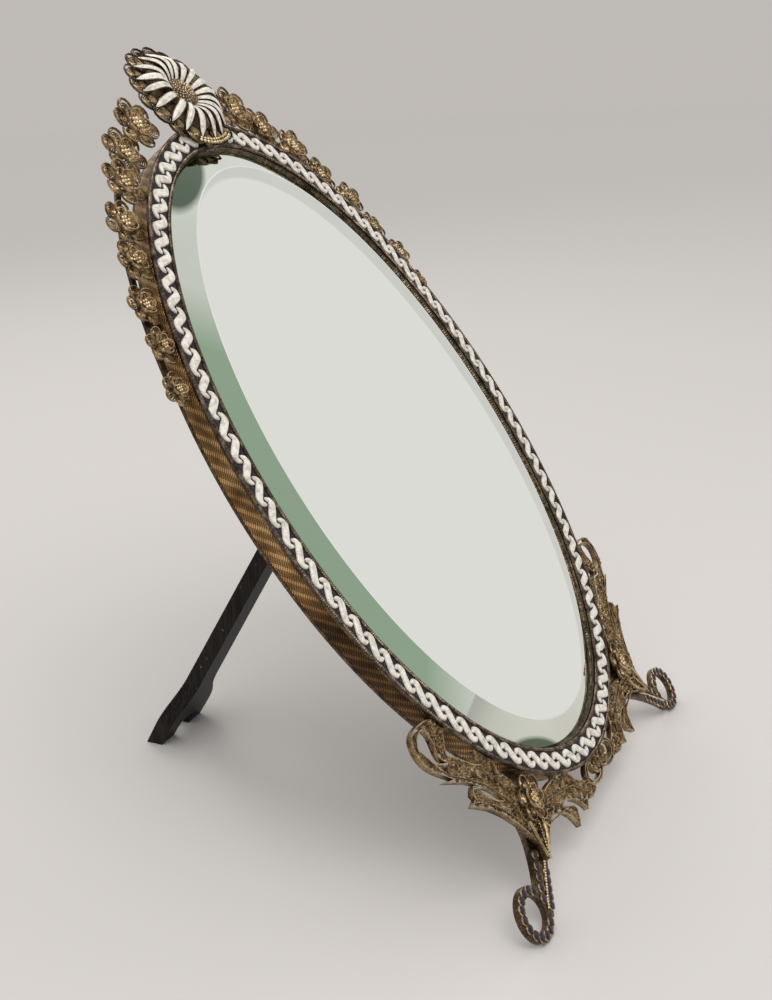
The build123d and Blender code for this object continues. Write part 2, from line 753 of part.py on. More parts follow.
class Foot:
    """The places of one foot's pieces, on the side of the mirror given by its sign."""

    def __init__(self, sign):
        self.sign = sign
        self.ring = self.from_ring(0, 0)
        self.flower = self.from_blossom(flower_out, 0)

    def from_ring(self, out, up):
        """A point of the face measured outwards and up from the middle of the foot ring."""
        return self.sign * (foot_reach + out), up - foot_drop

    def from_blossom(self, out, up):
        """A point of the face measured outwards and up from the crotch of the foot, beside the wall."""
        return self.sign * (blossom_reach + out), up - blossom_drop

    def leg(self):
        """The leg's outline, from the ring up behind the foot flower."""
        ring = self.from_ring
        top = self.from_blossom
        with BuildSketch(behind(leg_depth)) as outline:
            with BuildLine():
                ThreePointArc(ring(-6.0, 2.6), ring(-13.3, 10.2), top(14.1, -7.0))
                Polyline(top(14.1, -7.0), top(12.5, -1), top(9.5, 3.5), top(3.5, 12), top(-5, 6))
                Polyline(top(-5, 6), top(0.2, -3.5), top(-1.5, -10.8))
                ThreePointArc(top(-1.5, -10.8), ring(-20.8, 6.0), ring(-7.2, -6.0))
                Polyline(ring(-7.2, -6.0), ring(-5.6, -3.6), ring(-6.0, 2.6))
            make_face()
            with Locations(self.ring):
                Circle(ring_radius)
                Circle(ring_hole_radius, mode=Mode.SUBTRACT)
            with Locations(self.flower):
                Circle(rivet_radius + fastener_gap, mode=Mode.SUBTRACT)
        return outline.sketch

    def scroll(self):
        """The upper scroll's outline: a tongue down the leg, two leaves, and a curl back to the wall."""
        at = self.from_blossom
        curl_outside = [at(32.8, 23.5), at(37.8, 28.4), at(41.4, 34.9), at(39.6, 41.2), at(33.7, 42.6)]
        curl_outside.append(at(26.0, 41.0))
        curl_inside = [at(32.2, 40.2), at(36.5, 40.0), at(39.2, 37.2), at(38.2, 33.2), at(34.5, 29.9)]
        curl_inside.append(at(30.6, 28.2))
        leaf_inside = [at(30.6, 28.2), at(32.8, 32.4), at(31.6, 36.4), at(32.2, 40.2)]
        lens_above = [at(16.6, 6.4), at(19.3, 11.6), at(24.6, 15.4)]
        lens_below = [at(24.6, 15.4), at(22.2, 11.0), at(16.6, 6.4)]
        wall_gap = [at(29.4, 29.6), at(23.0, 24.4), at(19.0, 20.8), at(15.8, 19.4)]
        crotch = [at(11.4, 13.8), at(8.4, 9.4), at(6.0, 4.0), at(5.4, -1.4)]
        with BuildSketch(behind(foot_panel_depth)) as outline:
            with BuildLine():
                Spline(crotch)
                Polyline(crotch[-1], *self.joint())
                ThreePointArc(self.joint()[-1], at(8.0, -13.9), at(13.4, -17.0))
                ThreePointArc(at(13.4, -17.0), at(14.6, -7.6), at(18.2, -0.2))
                ThreePointArc(at(18.2, -0.2), at(24.4, 7.6), at(32.2, 13.5))
                Polyline(at(32.2, 13.5), at(28.6, 14.2), at(28.9, 15.7), at(26.3, 17.4), at(23.8, 15.9))
                Polyline(at(23.8, 15.9), at(27.7, 19.3), at(37.9, 25.3), at(32.8, 23.5))
                Spline(curl_outside)
                Line(at(26.0, 41.0), at(22.0, 37.5))
                Polyline(at(22.0, 37.5), at(24.6, 34.8), at(27.6, 32.0), wall_gap[0])
                Spline(wall_gap)
                Polyline(wall_gap[-1], at(15.5, 25.5), at(9.5, 18.5), crotch[0])
            make_face()
            with Locations(self.flower):
                Circle(flower_boss_radius)
                Circle(rivet_radius + fastener_gap, mode=Mode.SUBTRACT)
            with BuildLine():
                Spline(curl_inside)
                Spline(leaf_inside)
            make_face(mode=Mode.SUBTRACT)
            with BuildLine():
                Spline(lens_above)
                Spline(lens_below)
            make_face(mode=Mode.SUBTRACT)
        return outline.sketch

    def joint(self):
        """The ends of the line where the scroll and the wing meet."""
        return self.from_blossom(5.4, -6.2), self.from_blossom(3.0, -11.6)

    def wing(self):
        """The lower wing's outline: it runs in under the oval, with two hanging leaf tips."""
        at = self.from_blossom
        with BuildSketch(behind(foot_panel_depth)) as outline:
            with BuildLine():
                Polyline(*self.joint(), at(-1.8, -10.4))
                ThreePointArc(at(-1.8, -10.4), at(-8.6, -13.8), at(-11.9, -20.8))
                Polyline(at(-11.9, -20.8), at(-15.2, -18.2), at(-15.6, -15.0), at(-9.4, -11.6))
                ThreePointArc(at(-9.4, -11.6), at(-16.4, -13.4), at(-21.6, -20.2))
                Polyline(at(-21.6, -20.2), at(-24.4, -18.4), at(-28.5, -19.6), at(-33.5, -18.6))
                Line(at(-33.5, -18.6), at(-33.5, -14.8))
                ThreePointArc(at(-33.5, -14.8), at(-27.3, -12.4), at(-22.5, -7.0))
                Polyline(at(-22.5, -7.0), at(-22.5, -3.0), at(-16, 0), at(-13.4, -3.4))
                ThreePointArc(at(-13.4, -3.4), at(-3.6, -3.2), self.joint()[0])
            make_face()
            with Locations((self.sign * loop_reach, -loop_drop)):
                Ellipse(loop_half_width, loop_half_height, mode=Mode.SUBTRACT)
        return outline.sketch

    def scales(self):
        """The enamel scales: one row round the ring and two rows up the leg."""
        rows = [[(-7.3, 0.2), (-15.8, 10.5)], [(-8.9, -3.0), (-16.2, 4.1)]]
        ring_row = ((ring_radius + ring_hole_radius) / 2, ring_scales)
        with BuildSketch(behind(leg_depth)) as discs:
            with Locations(self.ring):
                with PolarLocations(*ring_row, self.scale_start(), ring_scales * ring_scale_step):
                    RegularPolygon(scale_radius, scale_sides)
            for start, end in rows:
                for step in range(leg_scales):
                    share = step / (leg_scales - 1)
                    out = start[0] + share * (end[0] - start[0])
                    up = start[1] + share * (end[1] - start[1])
                    with Locations(self.from_ring(out, up)):
                        RegularPolygon(scale_radius, scale_sides)
        return discs.sketch

    def scale_start(self):
        """The angle of the ring row's first scale on the mirror's right, or of its last on the left."""
        if self.sign > 0:
            return ring_scale_start
        return 180 - ring_scale_start - (ring_scales - 1) * ring_scale_step


feet = [(side, Foot(sign)) for side, sign in sides]

# Legs that end in the rings, cut flat where they stand on the floor
for side, foot in feet:
    with BuildPart() as foot_leg:
        extrude(foot.leg(), amount=-leg_thickness)
        add(frame_core.part, mode=Mode.SUBTRACT)
        split(bisect_by=Plane.XY, keep=Keep.TOP)
    foot_leg.part.label = f"{side}_foot_leg"
    export_step(foot_leg.part, f"parts/{side}_foot_leg.step")

# Enamel scales on the front of the legs and rings
for side, foot in feet:
    with BuildPart() as foot_scales:
        extrude(foot.scales(), amount=scale_thickness)
    foot_scales.part.label = f"{side}_foot_scales"
    export_step(foot_scales.part, f"parts/{side}_foot_scales.step")

# Upper scrolls
for side, foot in feet:
    with BuildPart() as foot_scroll:
        extrude(foot.scroll(), amount=-foot_panel_thickness)
        add(frame_core.part, mode=Mode.SUBTRACT)
    foot_scroll.part.label = f"{side}_foot_scroll"
    export_step(foot_scroll.part, f"parts/{side}_foot_scroll.step")

# Lower wings
for side, foot in feet:
    with BuildPart() as foot_wing:
        extrude(foot.wing(), amount=-foot_panel_thickness)
        add(frame_core.part, mode=Mode.SUBTRACT)
    foot_wing.part.label = f"{side}_foot_wing"
    export_step(foot_wing.part, f"parts/{side}_foot_wing.step")

# Flowers on the feet
for side, foot in feet:
    with BuildPart() as foot_flower:
        outline = blossom(*foot.flower, blossom_depth, blossom_radius, blossom_petals)
        extrude(outline, amount=-blossom_thickness)
        with BuildSketch(behind(blossom_depth)):
            with Locations(foot.flower):
                Circle(rivet_radius + fastener_gap)
        extrude(amount=-blossom_thickness, mode=Mode.SUBTRACT)
        add(frame_core.part, mode=Mode.SUBTRACT)
    foot_flower.part.label = f"{side}_foot_flower"
    export_step(foot_flower.part, f"parts/{side}_foot_flower.step")

# Rivets through the foot flowers, scrolls and legs, with a head at each end
rivet_places = [foot.flower for side, foot in feet]
rivet_front = blossom_depth - rivet_head_height
with BuildPart() as foot_rivets:
    with BuildSketch(behind(rivet_front)):
        with Locations(*rivet_places):
            Circle(rivet_radius)
    extrude(amount=-(leg_back - rivet_front))
    with BuildSketch(behind(rivet_front), behind(leg_back)):
        with Locations(*rivet_places):
            Circle(rivet_head_radius)
    extrude(amount=-rivet_head_height)
foot_rivets.part.label = "foot_rivets"
export_step(foot_rivets.part, "parts/foot_rivets.step")

# Double loop under the middle of the oval, with a curl in each half
with BuildPart() as bottom_loops:
    with BuildSketch(behind(foot_panel_depth)):
        with Locations((-loop_reach, -loop_drop), (loop_reach, -loop_drop)):
            Ellipse(loop_half_width, loop_half_height)
        with Locations((-loop_reach, -loop_drop), (loop_reach, -loop_drop)):
            Ellipse(loop_half_width - loop_wire, loop_half_height - loop_wire, mode=Mode.SUBTRACT)
        with Locations((-curl_reach, -loop_drop + 1), (curl_reach, -loop_drop + 1)):
            Circle(curl_radius)
    extrude(amount=-foot_panel_thickness)
    add(frame_core.part, mode=Mode.SUBTRACT)
bottom_loops.part.label = "bottom_loops"
export_step(bottom_loops.part, "parts/bottom_loops.step")
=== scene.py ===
"""Dresses an oval easel mirror: gilt filigree, enamel, bevelled glass and a black strut."""

import json
import logging
from bisect import bisect_right
from dataclasses import dataclass, field
from enum import Enum
from itertools import accumulate
from math import atan2, ceil, cos, degrees, hypot, pi, radians, sin, sqrt
from typing import Callable, Optional, Sequence, Union

import bmesh
import bpy
from bmesh.types import BMEdge, BMesh, BMFace, BMVert
from mathutils import Matrix, Vector


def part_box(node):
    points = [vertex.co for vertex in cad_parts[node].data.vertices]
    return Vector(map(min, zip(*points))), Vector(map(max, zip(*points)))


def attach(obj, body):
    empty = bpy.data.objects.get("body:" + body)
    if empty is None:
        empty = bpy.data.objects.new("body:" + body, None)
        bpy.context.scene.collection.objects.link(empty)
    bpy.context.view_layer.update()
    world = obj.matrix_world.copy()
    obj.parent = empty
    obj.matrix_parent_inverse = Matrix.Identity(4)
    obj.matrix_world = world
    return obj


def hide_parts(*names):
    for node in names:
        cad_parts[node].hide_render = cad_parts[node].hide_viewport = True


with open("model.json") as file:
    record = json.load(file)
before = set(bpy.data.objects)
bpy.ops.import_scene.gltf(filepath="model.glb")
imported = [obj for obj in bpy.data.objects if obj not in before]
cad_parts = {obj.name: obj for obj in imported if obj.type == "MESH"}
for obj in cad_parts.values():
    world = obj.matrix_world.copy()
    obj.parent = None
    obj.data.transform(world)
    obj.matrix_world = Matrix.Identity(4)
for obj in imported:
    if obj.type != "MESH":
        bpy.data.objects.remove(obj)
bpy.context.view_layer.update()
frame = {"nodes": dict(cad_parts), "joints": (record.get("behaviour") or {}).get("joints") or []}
MM = 0.001
LIFT = "lift"  # the vertex attribute that says how far forwards a vertex lies in its piece
BROAD = 50 * MM * MM  # faces at least this large are flat in the real thing, and shaded flat
COPLANAR = radians(2)  # CAD facets that meet at less than this are one flat
SHARP = radians(35)  # CAD edges that turn more than this are eased
SIDES = (("left", -1), ("right", 1))
Point = tuple[float, float]
Colour = tuple[float, float, float]
Material = bpy.types.Material
Mesh = bpy.types.Mesh
Socket = bpy.types.NodeSocket
log = logging.getLogger("vanity_mirror")


class Body(Enum):
    """The rigid bodies that pieces ride on."""

    FRAME = "frame"
    STRUT = "strut"


class Slot(Enum):
    """The record's material slots."""

    GILT = "antique_gilt"
    BRASS = "worn_brass"
    WHITE = "white_enamel"
    DARK = "dark_enamel"
    GLASS = "silvered_glass"
    CARD = "backing_card"
    EBONY = "ebonised_wood"


class Nodes:
    """Adds shader nodes to the tree of a material or of the world."""

    def __init__(self, owner: Union[Material, bpy.types.World]) -> None:
        """Opens the owner's tree."""
        owner.use_nodes = True
        self.tree = owner.node_tree

    def feed(self, end: Socket, value: Union[Socket, float, Sequence[float]]) -> None:
        """Gives an input what it needs.

        Args:
            end: The input.
            value: The output to link to it, or its own number, vector or colour.
        """
        if isinstance(value, Socket):
            self.tree.links.new(value, end)
        else:
            end.default_value = (*value, 1.0) if end.type == "RGBA" else value

    def add(self, kind: str, inputs: dict, output: Union[int, str] = 0, **settings: str) -> Socket:
        """Adds a node.

        Args:
            kind: Its kind, without Blender's prefix.
            inputs: What feeds its inputs, by their names or numbers.
            output: The name or number of the output that is wanted.
            settings: The node's own settings.

        Returns:
            The output.
        """
        node = self.tree.nodes.new(f"ShaderNode{kind}")
        for name, setting in settings.items():
            setattr(node, name, setting)
        for name, value in inputs.items():
            self.feed(node.inputs[name], value)
        return node.outputs[output]

    def spread(self, value: Socket, low: float, high: float, span: Point = (0.0, 1.0)) -> Socket:
        """Stretches a value.

        Args:
            value: The value.
            low: What the start of its span becomes.
            high: What the end of its span becomes.
            span: The span, past which the result stays as it is at the ends.

        Returns:
            The result.
        """
        ends = {"From Min": span[0], "From Max": span[1], "To Min": low, "To Max": high}
        return self.add("MapRange", {"Value": value, **ends}, "Result")


class Bench(Nodes):
    """Wires up the shader of one material."""

    def __init__(self, name: str, source: str = "Object") -> None:
        """Starts a material.

        Args:
            name: The material's name.
            source: The coordinates that its patterns read, Object or UV.
        """
        self.material = bpy.data.materials.new(name)
        super().__init__(self.material)
        self.coordinates = self.add("TexCoord", {}, source)

    def mapped(self, scale: Sequence[float], turn: Sequence[float] = (0, 0, 0)) -> Socket:
        """Scales the coordinates along each axis and turns them by degrees about each."""
        turns = [radians(angle) for angle in turn]
        return self.add("Mapping", {"Vector": self.coordinates, "Scale": scale, "Rotation": turns})

    def noise(self, size: float, detail: float = 4.0, vector: Optional[Socket] = None) -> Socket:
        """Makes clouds.

        Args:
            size: The width of a cloud in metres.
            detail: How many finer layers it has.
            vector: Mapped coordinates, or None for the plain ones.

        Returns:
            The clouds, from 0 to 1.
        """
        inputs = {"Vector": vector or self.coordinates, "Scale": 1 / size, "Detail": detail}
        return self.add("TexNoise", inputs, "Fac")

    def wave(self, pitch: float, slant: float, wander: float = 0.0) -> Socket:
        """Makes ridges.

        Args:
            pitch: The distance from ridge to ridge in metres.
            slant: How many degrees they are turned.
            wander: How far they stray.

        Returns:
            The ridges, from 0 to 1.
        """
        vector = self.mapped((1, 1, 1), (0, 0, slant))
        scale = 0.314 / pitch  # Blender's wave repeats after 0.314 at scale 1
        inputs = {"Vector": vector, "Scale": scale, "Distortion": wander}
        return self.add("TexWave", inputs, "Fac", bands_direction="X")

    def ramp(self, value: Socket, places: Sequence[float], colours: Sequence[Colour]) -> Socket:
        """Turns a value into a colour.

        Args:
            value: A value from 0 to 1.
            places: Where on it each colour is reached.
            colours: The colours.

        Returns:
            The colour.
        """
        colour = self.add("ValToRGB", {"Fac": value}, "Color")
        elements = colour.node.color_ramp.elements
        while len(elements) < len(places):
            elements.new(0.5)
        for element, place, (red, green, blue) in zip(elements, places, colours):
            element.position = place
            element.color = (red, green, blue, 1.0)
        return colour

    def maths(self, operation: str, first: Socket, second: Union[Socket, float]) -> Socket:
        """Works out one of Blender's operations on a socket and a socket or a number."""
        return self.add("Math", {0: first, 1: second}, operation=operation)

    def times(self, first: Socket, second: Union[Socket, float]) -> Socket:
        """Multiplies a socket by a socket or a number."""
        return self.maths("MULTIPLY", first, second)

    def sum(self, first: Socket, second: Socket, weights: Point = (1.0, 1.0)) -> Socket:
        """Adds two values, each times its own weight."""
        return self.maths("ADD", self.times(first, weights[0]), self.times(second, weights[1]))

    def blend(
        self, share: Socket, first: Union[Socket, Colour], second: Union[Socket, Colour]
    ) -> Socket:
        """Mixes two colours, each a socket or a constant, by a share."""
        return self.add("Mix", {0: share, 6: first, 7: second}, 2, data_type="RGBA")

    def patch(self, place: Matrix, halves: Point, soft: float) -> Socket:
        """Marks an oval patch.

        Args:
            place: The patch's middle, with its length along X.
            halves: Half its length and half its width.
            soft: The share of it over which it fades in.

        Returns:
            One inside the patch and zero outside.
        """
        inputs = {
            "Vector": self.add("TexCoord", {}, "Object"),
            "Location": place.to_translation(),
            "Rotation": place.to_euler(),
            "Scale": (*halves, 1.0),
        }
        local = self.add("Mapping", inputs, vector_type="TEXTURE")
        out = self.add("VectorMath", {0: local}, "Value", operation="LENGTH")
        return self.spread(out, 1.0, 0.0, (1.0 - soft, 1.0))

    def relief(self, height: Socket, depth: float) -> Socket:
        """Makes the normals of bumps of a depth in metres."""
        return self.add("Bump", {"Height": height, "Distance": depth, "Strength": 1.0}, "Normal")

    def shade(self, **inputs: Union[Socket, float, Colour]) -> Material:
        """Feeds the shader's inputs, named with underscores for spaces.

        Args:
            inputs: What feeds each.

        Returns:
            The finished material.
        """
        for name, value in inputs.items():
            self.feed(self.tree.nodes["Principled BSDF"].inputs[name.replace("_", " ")], value)
        return self.material


@dataclass(frozen=True)
class GiltFinish:
    """Old gilding, brown patina in the hollows and pale gold where it stands out and is rubbed,
    with painted shade on parts further back.
    """

    name: str
    tarnish: Colour = (0.022, 0.014, 0.009)
    body: Colour = (0.29, 0.195, 0.103)
    rubbed: Colour = (0.62, 0.465, 0.265)
    bright: Colour = (0.93, 0.80, 0.58)
    wear_and_shade_stops: tuple[float, ...] = (0.30, 0.43, 0.56, 0.74)
    patch: float = 5.0 * MM
    grain: float = 0.7 * MM
    wear_weights: Point = (0.55, 0.5)
    rough: Point = (0.50, 0.26)
    pitted: float = 0.08 * MM
    lift_wear_and_shade: float = 0.0

    def make(self) -> Material:
        """Builds the material.

        Returns:
            The material.
        """
        bench = Bench(self.name)
        grain = bench.noise(self.grain)
        wear_and_shade = bench.sum(bench.noise(self.patch, 3.0), grain, self.wear_weights)
        # Painted shade: parts further back in a piece darken, along with their patina; parts
        # further forward pale, as rubbed.
        if self.lift_wear_and_shade:
            lift = bench.add("Attribute", {}, "Fac", attribute_name=LIFT)
            wear_and_shade = bench.sum(wear_and_shade, bench.spread(lift, -0.5, 0.5), (1.0, self.lift_wear_and_shade))
        colours = (self.tarnish, self.body, self.rubbed, self.bright)
        return bench.shade(
            Base_Color=bench.ramp(wear_and_shade, self.wear_and_shade_stops, colours),
            Roughness=bench.spread(grain, *self.rough),
            Normal=bench.relief(grain, self.pitted),
            Metallic=1.0,
        )


@dataclass(frozen=True)
class EngravedFinish:
    """Gilt sheet with slanting rows of fine ribs, mapped in metres, with painted shade over one
    patch.
    """

    name: str
    painted_shade_place: Matrix
    painted_shade_halves: Point = (46 * MM, 42 * MM)
    painted_shade_soft: float = 0.5
    painted_shade_strength: float = 0.40
    dark: Colour = (0.030, 0.017, 0.008)
    middle: Colour = (0.255, 0.138, 0.052)
    light: Colour = (0.74, 0.49, 0.235)
    light_stops: tuple[float, ...] = (0.10, 0.40, 0.80)
    rib_pitch: float = 0.70 * MM
    rib_slants: Point = (-62.0, -48.0)
    rib_wander: float = 0.6
    rib_shades: Point = (0.30, 1.0)
    band_pitch: float = 3.2 * MM
    band_slant: float = 46.0
    band_shades: Point = (0.62, 1.10)
    seam_sharpness: float = 6.0
    seam_shades: Point = (0.35, 1.0)
    patch: float = 8 * MM
    patch_shades: Point = (0.10, 1.70)
    grain: float = 0.4 * MM
    shine_weights: Point = (0.62, 0.3)
    rough: Point = (0.55, 0.34)
    depth: float = 0.14 * MM

    def make(self) -> Material:
        """Builds the material.

        Returns:
            The material.
        """
        bench = Bench(self.name, "UV")
        bands = bench.wave(self.band_pitch, self.band_slant)
        first, second = (
            bench.wave(self.rib_pitch, slant, self.rib_wander) for slant in self.rib_slants
        )
        share = bench.maths("GREATER_THAN", bands, 0.5)
        ribs = bench.spread(bench.add("Mix", {0: share, 2: first, 3: second}), *self.rib_shades)
        seam = bench.maths("ABSOLUTE", bench.maths("SUBTRACT", bands, 0.5), 0.0)
        seam = bench.maths("MINIMUM", bench.times(seam, self.seam_sharpness), 1.0)
        crest = bench.times(ribs, bench.spread(seam, *self.seam_shades))
        grain = bench.noise(self.grain)
        lit = bench.sum(crest, grain, self.shine_weights)
        lit = bench.times(lit, bench.spread(bands, *self.band_shades))
        lit = bench.times(lit, bench.spread(bench.noise(self.patch, 3.0), *self.patch_shades))
        # Painted shade: the wall is darker over one oval patch, low on the left.
        brown = bench.patch(self.painted_shade_place, self.painted_shade_halves, self.painted_shade_soft)
        lit = bench.times(lit, bench.spread(brown, 1.0, self.painted_shade_strength))
        colours = (self.dark, self.middle, self.light)
        return bench.shade(
            Base_Color=bench.ramp(lit, self.light_stops, colours),
            Roughness=bench.spread(grain, *self.rough),
            Normal=bench.relief(crest, self.depth),
            Metallic=1.0,
        )


@dataclass(frozen=True)
class EnamelFinish:
    """Vitreous enamel, clouded and slightly uneven."""

    name: str
    low: Colour
    high: Colour
    rough: Point = (0.22, 0.42)
    gloss: float = 0.2
    gloss_rough: float = 0.15
    shine: float = 0.4
    cloud: float = 1.6 * MM
    speck: float = 0.35 * MM
    weights: Point = (0.6, 0.4)
    stops: Point = (0.36, 0.56)
    ripple: float = 0.05 * MM

    def make(self) -> Material:
        """Builds the material.

        Returns:
            The material.
        """
        bench = Bench(self.name)
        clouds, specks = bench.noise(self.cloud), bench.noise(self.speck, 3.0)
        mottle = bench.sum(clouds, specks, self.weights)
        return bench.shade(
            Base_Color=bench.ramp(mottle, self.stops, (self.low, self.high)),
            Roughness=bench.spread(specks, *self.rough),
            Normal=bench.relief(clouds, self.ripple),
            Coat_Weight=self.gloss,
            Coat_Roughness=self.gloss_rough,
            Specular_IOR_Level=self.shine,
        )


@dataclass(frozen=True)
class WoodFinish:
    """Black stained wood with a fine grain, rubbed pale in a few places."""

    name: str
    grain_turn: tuple[float, float, float]
    stain: Colour = (0.006, 0.005, 0.005)
    lift: Colour = (0.020, 0.016, 0.013)
    scuff: Colour = (0.16, 0.135, 0.11)
    grain: float = 0.9 * MM
    grain_stretch: float = 0.06
    grain_stops: Point = (0.38, 0.66)
    scuff_size: float = 2.4 * MM
    scuff_contrast: Point = (-7.2, 3.4)
    rough: Point = (0.34, 0.58)
    depth: float = 0.12 * MM
    shine: float = 0.12

    def make(self) -> Material:
        """Builds the material.

        Returns:
            The material.
        """
        bench = Bench(self.name)
        along = bench.mapped((1.0, 1.0, self.grain_stretch), self.grain_turn)
        grain = bench.noise(self.grain, 5.0, along)
        wood = bench.ramp(grain, self.grain_stops, (self.stain, self.lift))
        scuffs = bench.spread(bench.noise(self.scuff_size, 6.0), *self.scuff_contrast)
        return bench.shade(
            Base_Color=bench.blend(bench.maths("MAXIMUM", scuffs, 0.0), wood, self.scuff),
            Roughness=bench.spread(grain, *self.rough),
            Normal=bench.relief(grain, self.depth),
            Specular_IOR_Level=self.shine,
        )


@dataclass(frozen=True)
class PaintedReflection:
    """An oval patch of another colour, a painted reflection, with its length along X of its place.
    """

    tint: Colour
    place: Matrix
    halves: Point
    soft: float = 0.2


@dataclass(frozen=True)
class SilveredFinish:
    """Silvered plate glass, with patches of painted reflection for the colours that its thick edge
    throws.
    """

    name: str
    base: Colour
    painted_reflections: Sequence[PaintedReflection] = ()
    rough: float = 0.03
    haze: float = 26 * MM
    haze_stops: Point = (0.35, 0.65)
    dulled: float = 0.93
    smear: float = 12 * MM

    def make(self) -> Material:
        """Builds the material.

        Returns:
            The material.
        """
        bench = Bench(self.name)
        dull = tuple(self.dulled * part for part in self.base)
        colour = bench.ramp(bench.noise(self.haze, 3.0), self.haze_stops, (dull, self.base))
        # Each patch is a painted reflection, blended over the silvering.
        for stain in self.painted_reflections:
            share = bench.patch(stain.place, stain.halves, stain.soft)
            colour = bench.blend(share, colour, stain.tint)
        smears = bench.noise(self.smear, 3.0)
        return bench.shade(
            Base_Color=colour,
            Roughness=bench.spread(smears, 0.4 * self.rough, 1.6 * self.rough),
            Metallic=1.0,
        )


@dataclass(frozen=True)
class CardFinish:
    """Plain grey-brown card."""

    name: str
    low: Colour = (0.20, 0.155, 0.105)
    high: Colour = (0.33, 0.27, 0.19)
    stops: Point = (0.35, 0.65)
    fibre: float = 0.8 * MM
    depth: float = 0.05 * MM
    rough: float = 0.9

    def make(self) -> Material:
        """Builds the material.

        Returns:
            The material.
        """
        bench = Bench(self.name)
        fibres = bench.noise(self.fibre, 6.0)
        return bench.shade(
            Base_Color=bench.ramp(fibres, self.stops, (self.low, self.high)),
            Normal=bench.relief(fibres, self.depth),
            Roughness=self.rough,
        )


class Palette:
    """Every finish of the mirror, made once."""

    def __init__(self) -> None:
        """Makes the materials."""
        self.gilt = GiltFinish("filigree_gilt", lift_wear_and_shade=0.30).make()
        # A darker copy of the gilt: painted shade for rims, stems and parts lying behind others.
        self.shaded_gilt = GiltFinish(
            "shadowed_gilt",
            body=(0.17, 0.115, 0.065),
            rubbed=(0.38, 0.275, 0.155),
            bright=(0.66, 0.53, 0.34),
            lift_wear_and_shade=0.2,
        ).make()
        self.sheet_gilt = GiltFinish(
            "panel_gilt",
            body=(0.20, 0.138, 0.080),
            rubbed=(0.62, 0.475, 0.285),
            bright=(0.97, 0.85, 0.63),
            patch=2.2 * MM,
            grain=0.4 * MM,
        ).make()
        self.patina = GiltFinish(
            "brown_patina",
            tarnish=(0.016, 0.011, 0.009),
            body=(0.048, 0.033, 0.024),
            rubbed=(0.12, 0.085, 0.055),
            bright=(0.34, 0.26, 0.17),
        ).make()
        # The place given is the middle of the painted shade on the side wall.
        self.engraved = EngravedFinish("engraved_gilt", FACE.at(-72 * MM, -52 * MM)).make()
        self.milled = GiltFinish(
            "milled_wire",
            tarnish=(0.014, 0.010, 0.009),
            body=(0.055, 0.040, 0.032),
            rubbed=(0.17, 0.13, 0.095),
            bright=(0.42, 0.34, 0.24),
            patch=3.0 * MM,
        ).make()
        self.brass = GiltFinish(
            "worn_brass",
            tarnish=(0.10, 0.07, 0.035),
            body=(0.30, 0.21, 0.10),
            rubbed=(0.52, 0.39, 0.20),
        ).make()
        self.white = EnamelFinish(
            "white_enamel", (0.40, 0.365, 0.315), (0.74, 0.705, 0.64)
        ).make()
        self.ground = EnamelFinish(
            "dark_ground",
            (0.007, 0.005, 0.006),
            (0.026, 0.018, 0.022),
            rough=(0.35, 0.6),
            gloss=0.0,
            shine=0.18,
        ).make()
        self.scales = EnamelFinish(
            "dark_scales",
            (0.006, 0.004, 0.010),
            (0.024, 0.015, 0.030),
            rough=(0.2, 0.4),
            gloss=0.1,
            shine=0.3,
        ).make()
        self.strut_wood = WoodFinish("strut_wood", (33.2, 0, 0)).make()
        self.board_wood = WoodFinish("board_wood", (-32.3, 0, 0)).make()
        self.card = CardFinish("backing_card").make()


def polar(out: float, angle: float) -> Point:
    """The point at a distance out from the origin, at an angle in degrees from X."""
    return out * cos(radians(angle)), out * sin(radians(angle))


def placed(x: float, y: float, z: float = 0.0, turn: float = 0.0, tilt: float = 0.0) -> Matrix:
    """A place at a point, turned about Z and then tilted up about its own Y, in degrees."""
    turned = Matrix.Rotation(radians(turn), 4, "Z") @ Matrix.Rotation(radians(-tilt), 4, "Y")
    return Matrix.Translation((x, y, z)) @ turned


def only(items: Sequence, kind: type) -> list:
    """Keeps the items of one kind."""
    return [item for item in items if isinstance(item, kind)]


def extruded(
    bm: BMesh, faces: Sequence[BMFace], rise: float
) -> tuple[list[BMVert], list[BMFace]]:
    """Extrudes faces along Z.

    Args:
        bm: The shape that they belong to.
        faces: The faces.
        rise: How far they move.

    Returns:
        The moved vertices and the moved faces.
    """
    made = bmesh.ops.extrude_face_region(bm, geom=faces)["geom"]
    verts = only(made, BMVert)
    bmesh.ops.translate(bm, vec=(0, 0, rise), verts=verts)
    return verts, only(made, BMFace)


def as_mesh(bm: BMesh) -> Mesh:
    """Turns a bmesh into a mesh to stamp, and frees it.

    Args:
        bm: The bmesh.

    Returns:
        The mesh.
    """
    mesh = bpy.data.meshes.new("stamp")
    bm.to_mesh(mesh)
    bm.free()
    return mesh


def bead(radius: float, flatten: float = 1.0, finer: int = 1) -> Mesh:
    """Makes a small ball to stamp.

    Args:
        radius: Its radius.
        flatten: Its height as a share of its width.
        finer: How many times its faces are divided.

    Returns:
        The ball.
    """
    bm = bmesh.new()
    bmesh.ops.create_icosphere(bm, subdivisions=finer, radius=radius)
    bmesh.ops.scale(bm, vec=(1, 1, flatten), verts=bm.verts[:])
    return as_mesh(bm)


def copy_of(node: str, place: Matrix = Matrix.Identity(4)) -> BMesh:
    """Copies a CAD node's mesh to a place, and merges the copy's vertices.

    Args:
        node: The CAD node.
        place: The matrix that takes the copy there.

    Returns:
        The copy.
    """
    bm = bmesh.new()
    bm.from_mesh(frame["nodes"][node].data)
    bmesh.ops.transform(bm, matrix=place, verts=bm.verts[:])
    bmesh.ops.remove_doubles(bm, verts=bm.verts[:], dist=2e-6)
    return bm


